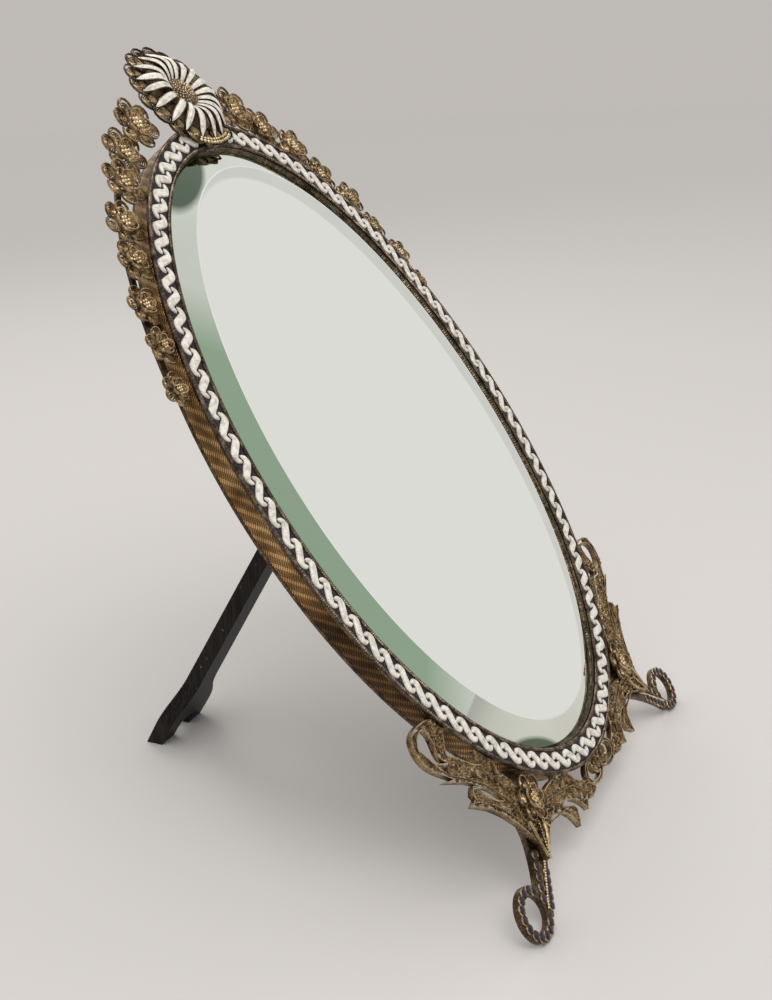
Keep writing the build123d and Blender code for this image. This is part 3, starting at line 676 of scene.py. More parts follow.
def stamp(bm: BMesh, source: Mesh, place: Matrix) -> None:
    """Adds a copy of a mesh to a bmesh at a place.

    Args:
        bm: Where it goes.
        source: The mesh.
        place: Its place.
    """
    before = len(bm.verts)
    bm.from_mesh(source)
    bm.verts.ensure_lookup_table()
    bmesh.ops.transform(bm, matrix=place, verts=bm.verts[before:])


def stamp_row(bm: BMesh, source: Mesh, count: int, start: Vector, end: Vector) -> None:
    """Adds copies of a mesh to a bmesh in a straight row.

    Args:
        bm: Where they go.
        source: The mesh.
        count: How many there are.
        start: Where the first one goes.
        end: Where the last one goes.
    """
    for index in range(count):
        stamp(bm, source, Matrix.Translation(start.lerp(end, index / (count - 1))))


@dataclass
class Face:
    """The oval face: X runs across, Y up and Z out towards the viewer, from the oval's centre."""

    half_width: float = 88 * MM
    half_height: float = 125 * MM
    track_inset: float = 4.55 * MM
    ground_depth: float = 0.55 * MM
    samples: int = 3600
    matrix: Matrix = field(init=False)
    lengths: list[float] = field(init=False)
    perimeter: float = field(init=False)
    drum: float = field(init=False)

    def __post_init__(self) -> None:
        """Finds the plane from the frame, and measures the oval along the middle of its border."""
        turn = next(joint for joint in frame["joints"] if joint["name"] == "button_1_turn")
        back = Vector(turn["axis"]).normalized()
        low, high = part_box("enamel_ground")
        centre = (low + high) / 2 - back * self.ground_depth
        across = Vector((1, 0, 0))
        axes = Matrix((across, (-back).cross(across), -back)).transposed()
        self.matrix = Matrix.Translation(centre) @ axes.to_4x4()
        spots = [
            self.spot(2 * pi * index / self.samples, -self.track_inset)
            for index in range(self.samples + 1)
        ]
        steps = ((end - start).length for start, end in zip(spots, spots[1:]))
        self.lengths = [0.0, *accumulate(steps)]
        self.perimeter = self.lengths[-1]
        self.drum = self.perimeter / (2 * pi)

    def spot(self, angle: float, out: float, rise: float = 0.0) -> Vector:
        """The point of the oval at an angle up from its lowest point, moved out and forwards."""
        x, y = cos(angle - pi / 2), sin(angle - pi / 2)
        return Vector(((self.half_width + out) * x, (self.half_height + out) * y, rise))

    def along(self, distance: float) -> float:
        """Finds the oval's angle at a distance along the middle of its border.

        Args:
            distance: The distance, from the oval's lowest point.

        Returns:
            The angle in radians.
        """
        wanted = distance % self.perimeter
        index = min(bisect_right(self.lengths, wanted), self.samples)
        low, high = self.lengths[index - 1], self.lengths[index]
        return 2 * pi * (index - 1 + (wanted - low) / (high - low)) / self.samples

    def at(self, x: float, y: float, turn: float = 0.0) -> Matrix:
        """A place on the face in the shared frame, turned some degrees from X."""
        return self.matrix @ placed(x, y, 0, turn)

    def ring(self, profile: Sequence[Point], steps: int) -> BMesh:
        """Sweeps a closed profile round the oval as a round drum, still to be wrapped.

        Args:
            profile: Points measured out from the oval and forwards.
            steps: How many pieces the sweep has.

        Returns:
            The drum, for wrap_drum.
        """
        bm = bmesh.new()
        corners = [bm.verts.new((self.drum + out, 0, rise)) for out, rise in profile]
        for first, second in zip(corners, corners[1:] + corners[:1]):
            bm.edges.new((first, second))
        bmesh.ops.spin(
            bm,
            geom=bm.verts[:] + bm.edges[:],
            cent=(0, 0, 0),
            axis=(0, 0, 1),
            angle=2 * pi,
            steps=steps,
            use_merge=True,
        )
        bmesh.ops.remove_doubles(bm, verts=bm.verts[:], dist=1e-6)
        return bm

    def knurl(self, bm: BMesh, steps: int, change: Callable[[float, float], Point]) -> None:
        """Moves every second step of a drum.

        Args:
            bm: The drum.
            steps: How many steps it has.
            change: Gives a vertex's new place, out from the oval and forwards, for its old one.
        """
        for vert in bm.verts:
            x, y, rise = vert.co
            if round(atan2(y, x) / (2 * pi) * steps) % 2:
                radius = hypot(x, y)
                out, rise = change(radius - self.drum, rise)
                share = (self.drum + out) / radius
                vert.co = (share * x, share * y, rise)

    def unroll(self, bm: BMesh) -> None:
        """Writes a UV map in metres on a drum: along the oval, and across it.

        Args:
            bm: The drum.
        """
        layer = bm.loops.layers.uv.new("strip")
        for face in bm.faces:
            angles = [atan2(loop.vert.co.y, loop.vert.co.x) for loop in face.loops]
            for loop, angle in zip(face.loops, angles):
                if max(angles) - angle > pi:
                    angle += 2 * pi
                out = hypot(loop.vert.co.x, loop.vert.co.y) - self.drum
                loop[layer].uv = (angle * self.drum, loop.vert.co.z - out)

    def wrap_drum(self, bm: BMesh) -> None:
        """Moves a drum's vertices onto the oval, in face coordinates.

        Args:
            bm: The drum.
        """
        for vert in bm.verts:
            x, y, rise = vert.co
            angle = self.along(atan2(y, x) * self.drum)
            vert.co = self.spot(angle, hypot(x, y) - self.drum, rise)

    def wrap_strip(self, bm: BMesh) -> None:
        """Moves a strip's vertices, given along the oval, inwards and forwards, onto the oval."""
        for vert in bm.verts:
            vert.co = self.spot(self.along(vert.co.x), -vert.co.y, vert.co.z)


FACE = Face()


@dataclass
class Assembly:
    """A group of pieces, with the ways in which its shapes become pieces."""

    palette: Palette

    def piece(
        self,
        name: str,
        bm: BMesh,
        materials: Sequence[Material],
        slot: Slot,
        replaces: Sequence[str] = (),
        body: Body = Body.FRAME,
        place: Optional[Matrix] = None,
        crease: float = 42.0,
    ) -> None:
        """Makes an object of a bmesh, with its place in its mesh.

        Args:
            name: The piece's name.
            bm: The shape, in the coordinates of its place. It is freed.
            materials: The finishes, in the order of the faces' indices.
            slot: The record's material slot; it is not used.
            replaces: The CAD nodes that it stands for.
            body: The body that carries it.
            place: The matrix to the shared frame, or None for the face.
            crease: Edges sharper than this many degrees stay sharp.
        """
        bmesh.ops.remove_doubles(bm, verts=bm.verts[:], dist=1e-7)
        bmesh.ops.recalc_face_normals(bm, faces=bm.faces[:])
        lift = bm.verts.layers.float.new(LIFT)
        low = min(vert.co.z for vert in bm.verts)
        span = max(vert.co.z for vert in bm.verts) - low
        for vert in bm.verts:
            vert[lift] = (vert.co.z - low) / span
        matrix = FACE.matrix if place is None else place
        bmesh.ops.transform(bm, matrix=matrix, verts=bm.verts[:])
        for face in bm.faces:
            face.smooth = face.calc_area() < BROAD
        for edge in bm.edges:
            edge.smooth = edge.is_manifold and edge.calc_face_angle(0) < radians(crease)
        mesh = bpy.data.meshes.new(name)
        bm.to_mesh(mesh)
        triangles = sum(len(face.verts) - 2 for face in bm.faces)
        bm.free()
        for material in materials:
            mesh.materials.append(material)
        piece = bpy.data.objects.new(name, mesh)
        bpy.context.scene.collection.objects.link(piece)
        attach(piece, body.value)
        if replaces:
            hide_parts(*replaces)
        log.info("%s: %d triangles", name, triangles)

    def dress(self, material: Material, *nodes: str) -> None:
        """Gives CAD nodes a finish, and leaves them their solids.

        Args:
            material: The finish.
            nodes: The CAD nodes.
        """
        for node in nodes:
            slots = frame["nodes"][node].data.materials
            slots.clear()
            slots.append(material)
            log.info("%s keeps its solid", node)

    def eased(
        self, node: str, width: float, material: Material, slot: Slot, body: Body = Body.FRAME
    ) -> None:
        """Makes a piece that is a copy of a CAD node with its edges eased.

        Args:
            node: The CAD node, which the piece replaces.
            width: How wide the eased edges are.
            material: The finish.
            slot: The record's material slot.
            body: The body that carries it.
        """
        bm = copy_of(node)
        bmesh.ops.dissolve_limit(bm, angle_limit=COPLANAR, verts=bm.verts[:], edges=bm.edges[:])
        sharp = [
            edge for edge in bm.edges if edge.is_manifold and edge.calc_face_angle(0) > SHARP
        ]
        bmesh.ops.bevel(
            bm,
            geom=sharp,
            offset=width,
            affect="EDGES",
            segments=2,
            profile=0.5,
            material=-1,
            clamp_overlap=True,
        )
        self.piece(f"{node}_eased", bm, [material], slot, [node], body, Matrix.Identity(4))


class Wire:
    """Draws wire on a plane, bend by bend, by spinning its section."""

    def __init__(
        self, bm: BMesh, width: float, height: float, sides: int = 5, level: float = 0.0
    ) -> None:
        """Sets the wire's size.

        Args:
            bm: Where it is drawn.
            width: Its width on the plane.
            height: Its height off the plane.
            sides: How many sides its section has.
            level: How high its middle lies over the plane.
        """
        self.bm = bm
        self.width = width
        self.height = height
        self.sides = sides
        self.level = level
        self.position = Vector((0, 0, level))
        self.heading = 0.0
        self.edges: list[BMEdge] = []

    def start(self, x: float, y: float, heading: float) -> "Wire":
        """Puts a fresh end of wire at a point.

        Args:
            x: The point's place across.
            y: The point's place up.
            heading: How many degrees the wire heads from X.

        Returns:
            The wire itself.
        """
        self.finish()
        self.position = Vector((x, y, self.level))
        self.heading = heading
        made = bmesh.ops.create_circle(
            self.bm, cap_ends=True, radius=0.5, segments=self.sides
        )["verts"]
        section = (
            placed(*self.position, heading)
            @ Matrix.Rotation(pi / 2, 4, "Y")
            @ Matrix.Diagonal((self.height, self.width, 1, 1))
        )
        bmesh.ops.transform(self.bm, matrix=section, verts=made)
        self.edges = list({edge for vert in made for edge in vert.link_edges})
        return self

    def bend(self, radius: float, turn: float, pace: float = 30.0) -> "Wire":
        """Bends the wire along an arc.

        Args:
            radius: The arc's radius.
            turn: How many degrees it turns, to the left where positive.
            pace: The most degrees that one step turns.

        Returns:
            The wire itself.
        """
        left = radians(self.heading + (90 if turn > 0 else -90))
        centre = self.position + Vector((cos(left), sin(left), 0)) * radius
        made = bmesh.ops.spin(
            self.bm,
            geom=self.edges,
            cent=centre,
            axis=(0, 0, 1),
            angle=radians(turn),
            steps=max(1, ceil(abs(turn) / pace)),
        )
        self.edges = only(made["geom_last"], BMEdge)
        self.position = centre + Matrix.Rotation(radians(turn), 3, "Z") @ (self.position - centre)
        self.heading += turn
        return self

    def reach(self, x: float, y: float) -> "Wire":
        """Bends the wire along the one arc that ends at a point.

        Args:
            x: The point's place across.
            y: The point's place up.

        Returns:
            The wire itself.
        """
        chord = Vector((x, y, self.level)) - self.position
        aside = (degrees(atan2(chord.y, chord.x)) - self.heading + 180) % 360 - 180
        aside = aside if abs(aside) > 0.01 else 0.01  # a straight run is a very wide arc
        return self.bend(chord.length / (2 * sin(radians(abs(aside)))), 2 * aside)

    def curl(self, radius: float, side: int, turns: int, shrink: float) -> "Wire":
        """Winds the wire inwards in half turns, each tighter than the last.

        Args:
            radius: The first half turn's radius.
            side: 1 for turns to the left, or -1.
            turns: How many half turns there are.
            shrink: Each radius as a share of the last.

        Returns:
            The wire itself.
        """
        for _ in range(turns):
            self.bend(radius, 180 * side, 45)
            radius *= shrink
        return self

    def circle(self, radius: float, pace: float = 30.0) -> None:
        """Draws a full circle about the origin, in steps of some degrees."""
        self.start(radius, 0, 90).bend(radius, 360, pace).finish()

    def finish(self) -> None:
        """Closes the wire's open end."""
        if self.edges:
            bmesh.ops.contextual_create(self.bm, geom=self.edges)
            self.edges = []


@dataclass
class Border(Assembly):
    """The band between glass and wall: dark enamel, white scrolls and two milled wires."""

    scrolls: int = 92
    phase: float = 0.017
    middle: float = 4.55 * MM
    level: float = -0.35 * MM
    body_height: float = 0.30 * MM
    dome: tuple[Point, ...] = ((0.30 * MM, 0.34 * MM), (0.16 * MM, 0.068 * MM))
    pit_radius: float = 0.55 * MM
    pit_flatten: float = 0.5
    pit_place: Point = (1.55 * MM, 2.0 * MM)
    beads: int = 900
    wire_width: float = 1.35 * MM
    wire_height: float = 1.15 * MM
    wire_level: float = -0.75 * MM
    wire_sides: int = 8
    waist: Point = (0.74, 0.80)
    band_inner: float = 9.1 * MM

    def scroll(self) -> Mesh:
        """Makes one domed S scroll with hooked ends, with X along the border and Y inwards.

        The outline has a smooth curve's middle point between each two of its corners, which are
        given in millimetres for one half.

        Returns:
            The scroll.
        """
        half = [
            (-4.75, 0.3), (-4.5, 1.85), (-3.2, 2.75), (-1.05, 2.75),
            (2.4, -0.5), (3.15, -0.95), (3.6, -0.5),
        ]
        corners = [Vector((x, y, 0)) for x, y in half + [(-x, -y) for x, y in half]]
        count = len(corners)
        rim = []
        for index, corner in enumerate(corners):
            before, after = corners[index - 1], corners[(index + 1) % count]
            beyond = corners[(index + 2) % count]
            rim += [corner, (9 * (corner + after) - before - beyond) / 16]
        bm = bmesh.new()
        base = bm.faces.new([bm.verts.new(point * MM) for point in reversed(rim)])
        top = extruded(bm, [base], self.body_height)[1]
        for width, rise in self.dome:
            bmesh.ops.inset_region(
                bm, faces=top, thickness=width, depth=rise, use_even_offset=True
            )
        bmesh.ops.triangulate(bm, faces=[face for face in bm.faces if len(face.verts) > 4])
        return as_mesh(bm)

    def make_scrolls(self) -> None:
        """Sets the scrolls round the border, with a dark pit on each side of each."""
        master, pit = self.scroll(), bead(self.pit_radius, self.pit_flatten)
        scrolls, pits = bmesh.new(), bmesh.new()
        pitch = FACE.perimeter / self.scrolls
        for index in range(self.scrolls):
            along = pitch * (index + self.phase * self.scrolls)
            stamp(scrolls, master, placed(along, self.middle, self.level))
            for side in (-1, 1):
                x, y = along + side * self.pit_place[0], self.middle + side * self.pit_place[1]
                stamp(pits, pit, placed(x, y, self.level))
        for bm in (scrolls, pits):
            FACE.wrap_strip(bm)
        white, dark = [self.palette.white], [self.palette.scales]
        self.piece("border_scrolls", scrolls, white, Slot.WHITE, ["wave_scrolls"], crease=75)
        self.piece("border_pits", pits, dark, Slot.DARK)

    def make_wire(self, name: str, inset: float) -> None:
        """Sweeps one milled wire: a bead, a waist, a bead, all the way round.

        Args:
            name: Which wire it is, outer or inner.
            inset: How far inside the oval it lies.
        """
        middle = -inset - self.wire_width / 2
        top = self.wire_level + self.wire_height / 2
        profile = []
        for side in range(self.wire_sides):
            across, up = polar(0.5, 360 * side / self.wire_sides)
            profile.append((middle + across * self.wire_width, top + up * self.wire_height))
        narrow, low = self.waist
        bm = FACE.ring(profile, 2 * self.beads)
        FACE.knurl(bm, 2 * self.beads, lambda out, rise: (
            middle + narrow * (out - middle), self.wire_level + low * (rise - self.wire_level)
        ))
        FACE.wrap_drum(bm)
        node = f"{name}_milled_wire"
        self.piece(f"{name}_beaded_wire", bm, [self.palette.milled], Slot.BRASS, [node])

    def build(self) -> None:
        """Makes the border's pieces."""
        self.dress(self.palette.ground, "enamel_ground")
        self.dress(self.palette.patina, "face_band")
        self.make_scrolls()
        self.make_wire("outer", 0.0)
        self.make_wire("inner", self.band_inner - self.wire_width)


@dataclass
class Walls(Assembly):
    """The engraved side wall, the ribbed sight wall and the back rim."""

    inset: float = 0.5 * MM
    thickness: float = 1.0 * MM
    front: float = -1.4 * MM
    depth: float = 6.2 * MM
    lip: Point = (0.15 * MM, 0.3 * MM)
    bulge: float = 0.18 * MM
    side_steps: int = 420
    sight_inset: float = 9.1 * MM
    sight_thickness: float = 0.9 * MM
    sight_depth: float = 0.5 * MM
    sight_ribs: int = 620
    rib_depth: float = 0.16 * MM

    def make_side(self) -> None:
        """Sweeps the side wall and lays its engraving along it."""
        out, front, back = -self.inset, self.front, self.front - self.depth
        across, down = self.lip
        bm = FACE.ring(
            [
                (out - self.thickness, front),
                (out - across, front),
                (out, front - down),
                (out + self.bulge, front - self.depth / 2),
                (out, back + down),
                (out - across, back),
                (out - self.thickness, back),
            ],
            self.side_steps,
        )
        FACE.unroll(bm)
        FACE.wrap_drum(bm)
        finishes = [self.palette.engraved]
        self.piece("engraved_side_wall", bm, finishes, Slot.GILT, ["side_wall"])

    def make_sight(self) -> None:
        """Sweeps the sight wall with upright ribs on its inner face."""
        inner, outer = -self.sight_inset, self.sight_thickness - self.sight_inset
        back = self.front - self.sight_depth
        profile = [(inner, self.front), (outer, self.front), (outer, back), (inner, back)]
        bm = FACE.ring(profile, 2 * self.sight_ribs)
        FACE.knurl(bm, 2 * self.sight_ribs, lambda out, rise: (
            out + self.rib_depth if abs(out - inner) < 1e-6 else out, rise
        ))
        FACE.wrap_drum(bm)
        finishes = [self.palette.milled]
        self.piece("ribbed_sight_wall", bm, finishes, Slot.GILT, ["sight_wall"], crease=25)

    def build(self) -> None:
        """Makes the walls."""
        self.make_side()
        self.make_sight()
        self.dress(self.palette.patina, "back_rim")


@dataclass
class Plate(Assembly):
    """The bevelled mirror plate."""

    inset: float = 6.0 * MM
    bevel_width: float = 12.4 * MM
    bevel_rise: float = 4.7 * MM
    arris: float = 0.5 * MM
    arris_rise: float = 0.04 * MM
    edge: float = 1.6 * MM
    level: float = -3.075 * MM
    segments: int = 256
    clear: Colour = (0.905, 0.915, 0.875)
    flat_share: float = 0.86
    pale: Colour = (0.815, 0.865, 0.785)
    sage: Colour = (0.39, 0.53, 0.385)
    deep: Colour = (0.125, 0.170, 0.120)
    sage_soft: float = 0.28
    glint: Colour = (0.98, 0.99, 0.95)
    arris_rough: float = 0.25
    reflected_edge_offset: Point = (-5.8 * MM, -2.9 * MM)
    line_soft: float = 0.012

    def finishes(self, wide: float, high: float) -> list[Material]:
        """Makes the flat's, the bevel's and the arris's silvering, with painted reflections and a
        painted highlight on the arris.

        Args:
            wide: Half the flat's width.
            high: Half the flat's height.

        Returns:
            The three materials.
        """
        # Painted reflections: a darker band along the flat's right and top edge, a green cast on
        # the bevel's left, and dark green patches near its top and bottom.
        reflected_edge = PaintedReflection(self.clear, FACE.at(*self.reflected_edge_offset), (wide, high), self.line_soft)
        side = PaintedReflection(self.sage, FACE.at(-86 * MM, -7 * MM), (54 * MM, 98 * MM), self.sage_soft)
        upper = PaintedReflection(self.deep, FACE.at(-22 * MM, 112 * MM, 38), (25 * MM, 9 * MM))
        lower = PaintedReflection(self.deep, FACE.at(-29 * MM, -110.5 * MM, -33), (20 * MM, 6.5 * MM))
        flat_tint = tuple(self.flat_share * part for part in self.clear)
        return [
            SilveredFinish("silvered_plate", flat_tint, [reflected_edge]).make(),
            SilveredFinish("plate_bevel", self.pale, [side, upper, lower]).make(),
            SilveredFinish("plate_arris", self.glint, rough=self.arris_rough).make(),
        ]

    def build(self) -> None:
        """Grows the plate from its back: edge, bevel, arris and flat."""
        wide, high = FACE.half_width - self.inset, FACE.half_height - self.inset
        bm = bmesh.new()
        bmesh.ops.create_circle(bm, cap_ends=True, radius=1, segments=self.segments)
        bmesh.ops.scale(bm, vec=(wide, high, 1), verts=bm.verts[:])
        bmesh.ops.translate(bm, vec=(0, 0, self.level - self.edge), verts=bm.verts[:])
        top = extruded(bm, bm.faces[:], self.edge)[1]
        bevel = (1, self.bevel_width - self.arris, self.bevel_rise - self.arris_rise)
        for index, width, rise in (bevel, (2, self.arris, self.arris_rise)):
            before = set(bm.faces)
            verts, top = extruded(bm, top, rise)
            scale = ((wide - width) / wide, (high - width) / high, 1)
            bmesh.ops.scale(bm, vec=scale, verts=verts)
            wide, high = wide - width, high - width
            for face in set(bm.faces) - before:
                if len(face.verts) == 4:
                    face.material_index = index
        finishes = self.finishes(wide, high)
        self.piece("bevelled_plate", bm, finishes, Slot.GLASS, ["mirror_glass"], crease=3)
        self.dress(self.palette.card, "backing_card")


@dataclass(frozen=True)
class FiligreeLobe:
    """One cupped lobe about the origin: a rim of flat wire round a coil that fills it.

    The rim's sizes and the coil's are shares of the wire's width and height.
    """

    radius: float
    cup: float = 0.20
    width: float = 0.46 * MM
    height: float = 0.80 * MM
    rim_width: float = 1.25
    rim_height: float = 1.2
    coil_inset: float = 1.35
    coil_step: float = 0.75
    coil_end: float = 0.6

    def make(self) -> Mesh:
        """Draws the lobe.

        Returns:
            The lobe.
        """
        bm = bmesh.new()
        Wire(bm, self.rim_width * self.width, self.rim_height * self.height).circle(self.radius)
        for face in bm.faces:
            face.material_index = 1
        coil = Wire(bm, self.width, self.height, 4)
        radius = self.radius - self.coil_inset * self.width
        coil.start(radius, 0, 90)
        while radius > self.coil_end * self.width:
            coil.bend(radius, 180, 45)
            radius -= self.coil_step * self.width
        coil.finish()
        for vert in bm.verts:
            vert.co.z += self.cup * vert.co.xy.length_squared / self.radius
        return as_mesh(bm)


@dataclass(frozen=True)
class Layer:
    """One layer of a flower's lobes.

    A lobe's radius and its distance out are shares of the flower's radius. The tilt is in degrees.
    """

    lobes: int
    radius: float
    out: float
    rise: float
    tilt: float


@dataclass
class FiligreeFlower(Assembly):
    """A flower of wire: outer lobes, a raised layer of smaller ones, and granules."""

    name: str
    node: str
    middle: Vector
    radius: float
    spin: float = 90.0
    layers: Sequence[Layer] = (
        Layer(6, 0.335, 0.66, 0.0, 9),
        Layer(5, 0.235, 0.34, 1.0 * MM, 24),
    )
    lobe_turn: float = 2.4
    sway: float = 7
    grains: int = 6
    grain: float = 0.09
    grain_out: float = 0.17
    grain_level: float = 1.5 * MM

    def add_lobes(self, bm: BMesh, layer: Layer) -> None:
        """Stamps one layer of lobes, each with its coil turned on and leaning a little its own way.

        Args:
            bm: Where they go.
            layer: The layer.
        """
        lobe = FiligreeLobe(layer.radius * self.radius).make()
        for index in range(layer.lobes):
            angle = self.spin + 360 * (index + 0.5 * (layer.lobes % 2)) / layer.lobes
            turn = self.lobe_turn * index
            lean = layer.tilt + self.sway * sin(turn + 4 * self.radius / MM)
            place = placed(*polar(layer.out * self.radius, angle), layer.rise, angle, lean)
            stamp(bm, lobe, place @ Matrix.Rotation(turn, 4, "Z"))

    def build(self) -> None:
        """Makes the flower."""
        bm = bmesh.new()
        for layer in self.layers:
            self.add_lobes(bm, layer)
        grain = bead(self.grain * self.radius)
        stamp(bm, grain, placed(0, 0, self.grain_level))
        for index in range(self.grains):
            x, y = polar(self.grain_out * self.radius, 360 * (index + 1) / self.grains)
            stamp(bm, grain, placed(x, y, self.grain_level))
        bmesh.ops.translate(bm, vec=self.middle, verts=bm.verts[:])
        finishes = [self.palette.gilt, self.palette.shaded_gilt]
        self.piece(self.name, bm, finishes, Slot.GILT, [self.node])


@dataclass
class Garlands(Assembly):
    """Two runs of filigree flowers down the shoulders, with stems behind them."""

    flowers: int = 8
    margin_side: float = 2.8 * MM
    margin_top: float = 11.8 * MM
    first_angle: float = 70.8
    first_step: float = 8.6
    step_change: float = 0.45
    first_radius: float = 9.4 * MM
    last_radius: float = 5.6 * MM
    depth: float = 2.65 * MM
    layer: float = 1.3 * MM
    twist: float = 11

    def build(self) -> None:
        """Makes sixteen flowers and dresses the stems."""
        for side, sign in SIDES:
            for index in range(self.flowers):
                slip = self.step_change * index * (index - 1) / 2
                angle = radians(self.first_angle - index * self.first_step + slip)
                x = sign * (FACE.half_width + self.margin_side) * cos(angle)
                y = (FACE.half_height + self.margin_top) * sin(angle)
                share = index / (self.flowers - 1)
                FiligreeFlower(
                    self.palette,
                    f"{side}_filigree_flower_{index + 1}",
                    f"{side}_flower_{index + 1}",
                    Vector((x, y, -self.depth - self.layer * (index % 2))),
                    self.first_radius + (self.last_radius - self.first_radius) * share,
                    90 + sign * self.twist * index,
                ).build()
            self.dress(self.palette.patina, f"{side}_garland_stem")


@dataclass
class Crest(Assembly):
    """The daisy on its filigree rosette, leaning back over the top of the band."""

    rise: float = 135.8 * MM
    front: float = 0.1 * MM
    lean: float = 8.2
    lobes: int = 18
    lobe_radius: float = 4.0 * MM
    lobe_cup: float = 0.12
    lobe_overlap: float = 0.3 * MM
    lobe_stagger: float = 0.35 * MM
    rosette_radius: float = 22.0 * MM
    disc_radius: float = 14.4 * MM
    disc_thickness: float = 0.7 * MM
    thickness: float = 1.0 * MM
    ring_radius: float = 14.3 * MM
    ring_wire: Point = (0.6 * MM, 0.8 * MM)
    ring_level: float = -0.3 * MM
    petals: int = 18
    root: float = 5.2 * MM
    reach: float = 18.2 * MM
    arch: float = 3.9 * MM
    spring: float = 1.1 * MM
    width: float = 2.9 * MM
    petal_thickness: float = 0.55 * MM
    flute: float = 0.16 * MM
    hollow: float = 0.75 * MM
    root_fullness: float = 0.30
    belly_fullness: float = 0.98
    belly_end: float = 1.36
    tip_start: float = 0.82
    tip_length: float = 0.19
    rim_share: float = 0.76
    enamel_share: float = 0.8
    petal_turn: float = 1.6
    petal_spread: float = 0.07
    petal_lift: float = 0.94
    hub_radius: float = 6.4 * MM
    hub_taper: float = 0.9
    hub_height: float = 1.6 * MM
    dome_radius: float = 6.1 * MM
    dome_height: float = 2.4 * MM
    granules: int = 130
    granule_radius: float = 0.48 * MM
    granule_turn: float = 137.508
    bead_rows: tuple[tuple[int, float, float], ...] = (
        (12, 0.68 * MM, 20.2 * MM),
        (11, 0.60 * MM, 18.9 * MM),
    )
    bead_step: float = 4.6
    bead_flatten: float = 0.85
    bead_level: float = 0.35 * MM
    bracket_ease: float = 0.15 * MM
    place: Matrix = field(init=False)

    def __post_init__(self) -> None:
        """Finds the crest's own place on the face."""
        back = Matrix.Rotation(radians(-self.lean), 4, "X")
        self.place = FACE.matrix @ placed(0, self.rise, -self.front) @ back

    def make_rosette(self) -> None:
        """Makes a thin disc with wire lobes round it."""
        bm = bmesh.new()
        bmesh.ops.create_circle(bm, cap_ends=True, radius=self.disc_radius, segments=72)
        bmesh.ops.translate(bm, vec=(0, 0, -self.thickness), verts=bm.verts[:])
        extruded(bm, bm.faces[:], self.disc_thickness)
        lobe = FiligreeLobe(self.lobe_radius, self.lobe_cup).make()
        root = self.rosette_radius - self.lobe_radius - self.lobe_overlap
        for index in range(self.lobes):
            angle = 360 * index / self.lobes
            level = -self.thickness / 2 - self.lobe_stagger * (index % 2)
            stamp(bm, lobe, placed(*polar(root, angle), level, angle))
        Wire(bm, *self.ring_wire, 6, self.ring_level).circle(self.ring_radius, 6)
        finishes = [self.palette.shaded_gilt, self.palette.patina]
        node = ["crest_rosette"]
        self.piece("filigree_rosette", bm, finishes, Slot.GILT, node, place=self.place)

    def belly(self, share: float) -> float:
        """How full a petal is at a share of its length, from 0 to 1."""
        return sin(pi * min(share / self.belly_end, 1.0)) ** 0.8

    def half_at(self, share: float) -> float:
        """Shapes a petal's outline: a narrow root, a belly and a round tip.

        Args:
            share: The share of its length, from the root.

        Returns:
            Half its width there.
        """
        full = self.root_fullness * (1 - share) + self.belly_fullness * self.belly(share)
        if share > self.tip_start:
            full *= max(1 - ((share - self.tip_start) / self.tip_length) ** 1.7, 0.05)
        return self.width / 2 * full

    def petal(self) -> Mesh:
        """Makes one fluted petal, arched from the dome back down to the rosette.

        Returns:
            The petal.
        """
        bm = bmesh.new()
        bmesh.ops.create_grid(bm, x_segments=12, y_segments=6, size=0.5)
        span = self.reach - self.root
        for vert in bm.verts:
            share, side = vert.co.x + 0.5, 2 * vert.co.y
            if 0.5 < abs(side) < 0.9:
                side *= 1.5 * self.rim_share
            belly = self.belly(share)
            height = self.spring * (1 - share) + self.arch * sin(pi * share ** 0.92)
            height += belly * (self.flute * cos(2 * pi * side) - self.hollow * side * side)
            vert.co = (self.root + span * share, side * self.half_at(share), height)
        enamel = set(extruded(bm, bm.faces[:], self.petal_thickness)[1])
        for face in bm.faces:
            middle = face.calc_center_median()
            edge = self.enamel_share * self.half_at((middle.x - self.root) / span)
            face.material_index = 0 if face in enamel and abs(middle.y) <= edge else 1
        return as_mesh(bm)

    def make_daisy(self) -> None:
        """Sets the petals round a hub, each turned, widened and lifted a little differently."""
        bm = bmesh.new()
        master = self.petal()
        for index in range(self.petals):
            angle = 360 * (index + 0.5) / self.petals + self.petal_turn * sin(2.1 * index)
            wide = 1 + self.petal_spread * sin(3.7 * index + 1)
            lift = self.petal_lift + self.petal_spread * sin(1.9 * index)
            stamp(bm, master, placed(0, 0, 0, angle) @ Matrix.Diagonal((1, wide, lift, 1)))
        hub = bmesh.ops.create_cone(
            bm,
            cap_ends=True,
            segments=48,
            radius1=self.hub_radius,
            radius2=self.hub_radius * self.hub_taper,
            depth=self.hub_height,
        )["verts"]
        bmesh.ops.translate(bm, vec=(0, 0, self.hub_height / 2), verts=hub)
        for face in {face for vert in hub for face in vert.link_faces}:
            face.material_index = 1
        finishes, node = [self.palette.white, self.palette.patina], ["daisy_petals"]
        self.piece("enamel_daisy", bm, finishes, Slot.WHITE, node, place=self.place)

    def make_dome(self) -> None:
        """Packs granules over the dome in a sunflower spiral."""
        bm = bmesh.new()
        grain = bead(self.granule_radius)
        sphere = (self.dome_radius ** 2 + self.dome_height ** 2) / (2 * self.dome_height)
        low = self.hub_height + self.dome_height - sphere
        for index in range(self.granules):
            out = self.dome_radius * sqrt((index + 0.5) / self.granules)
            x, y = polar(out, self.granule_turn * index)
            stamp(bm, grain, placed(x, y, low + sqrt(sphere ** 2 - out ** 2)))
        self.piece("dome_granules", bm, [self.palette.sheet_gilt], Slot.GILT, place=self.place)
        self.dress(self.palette.patina, "daisy_dome")

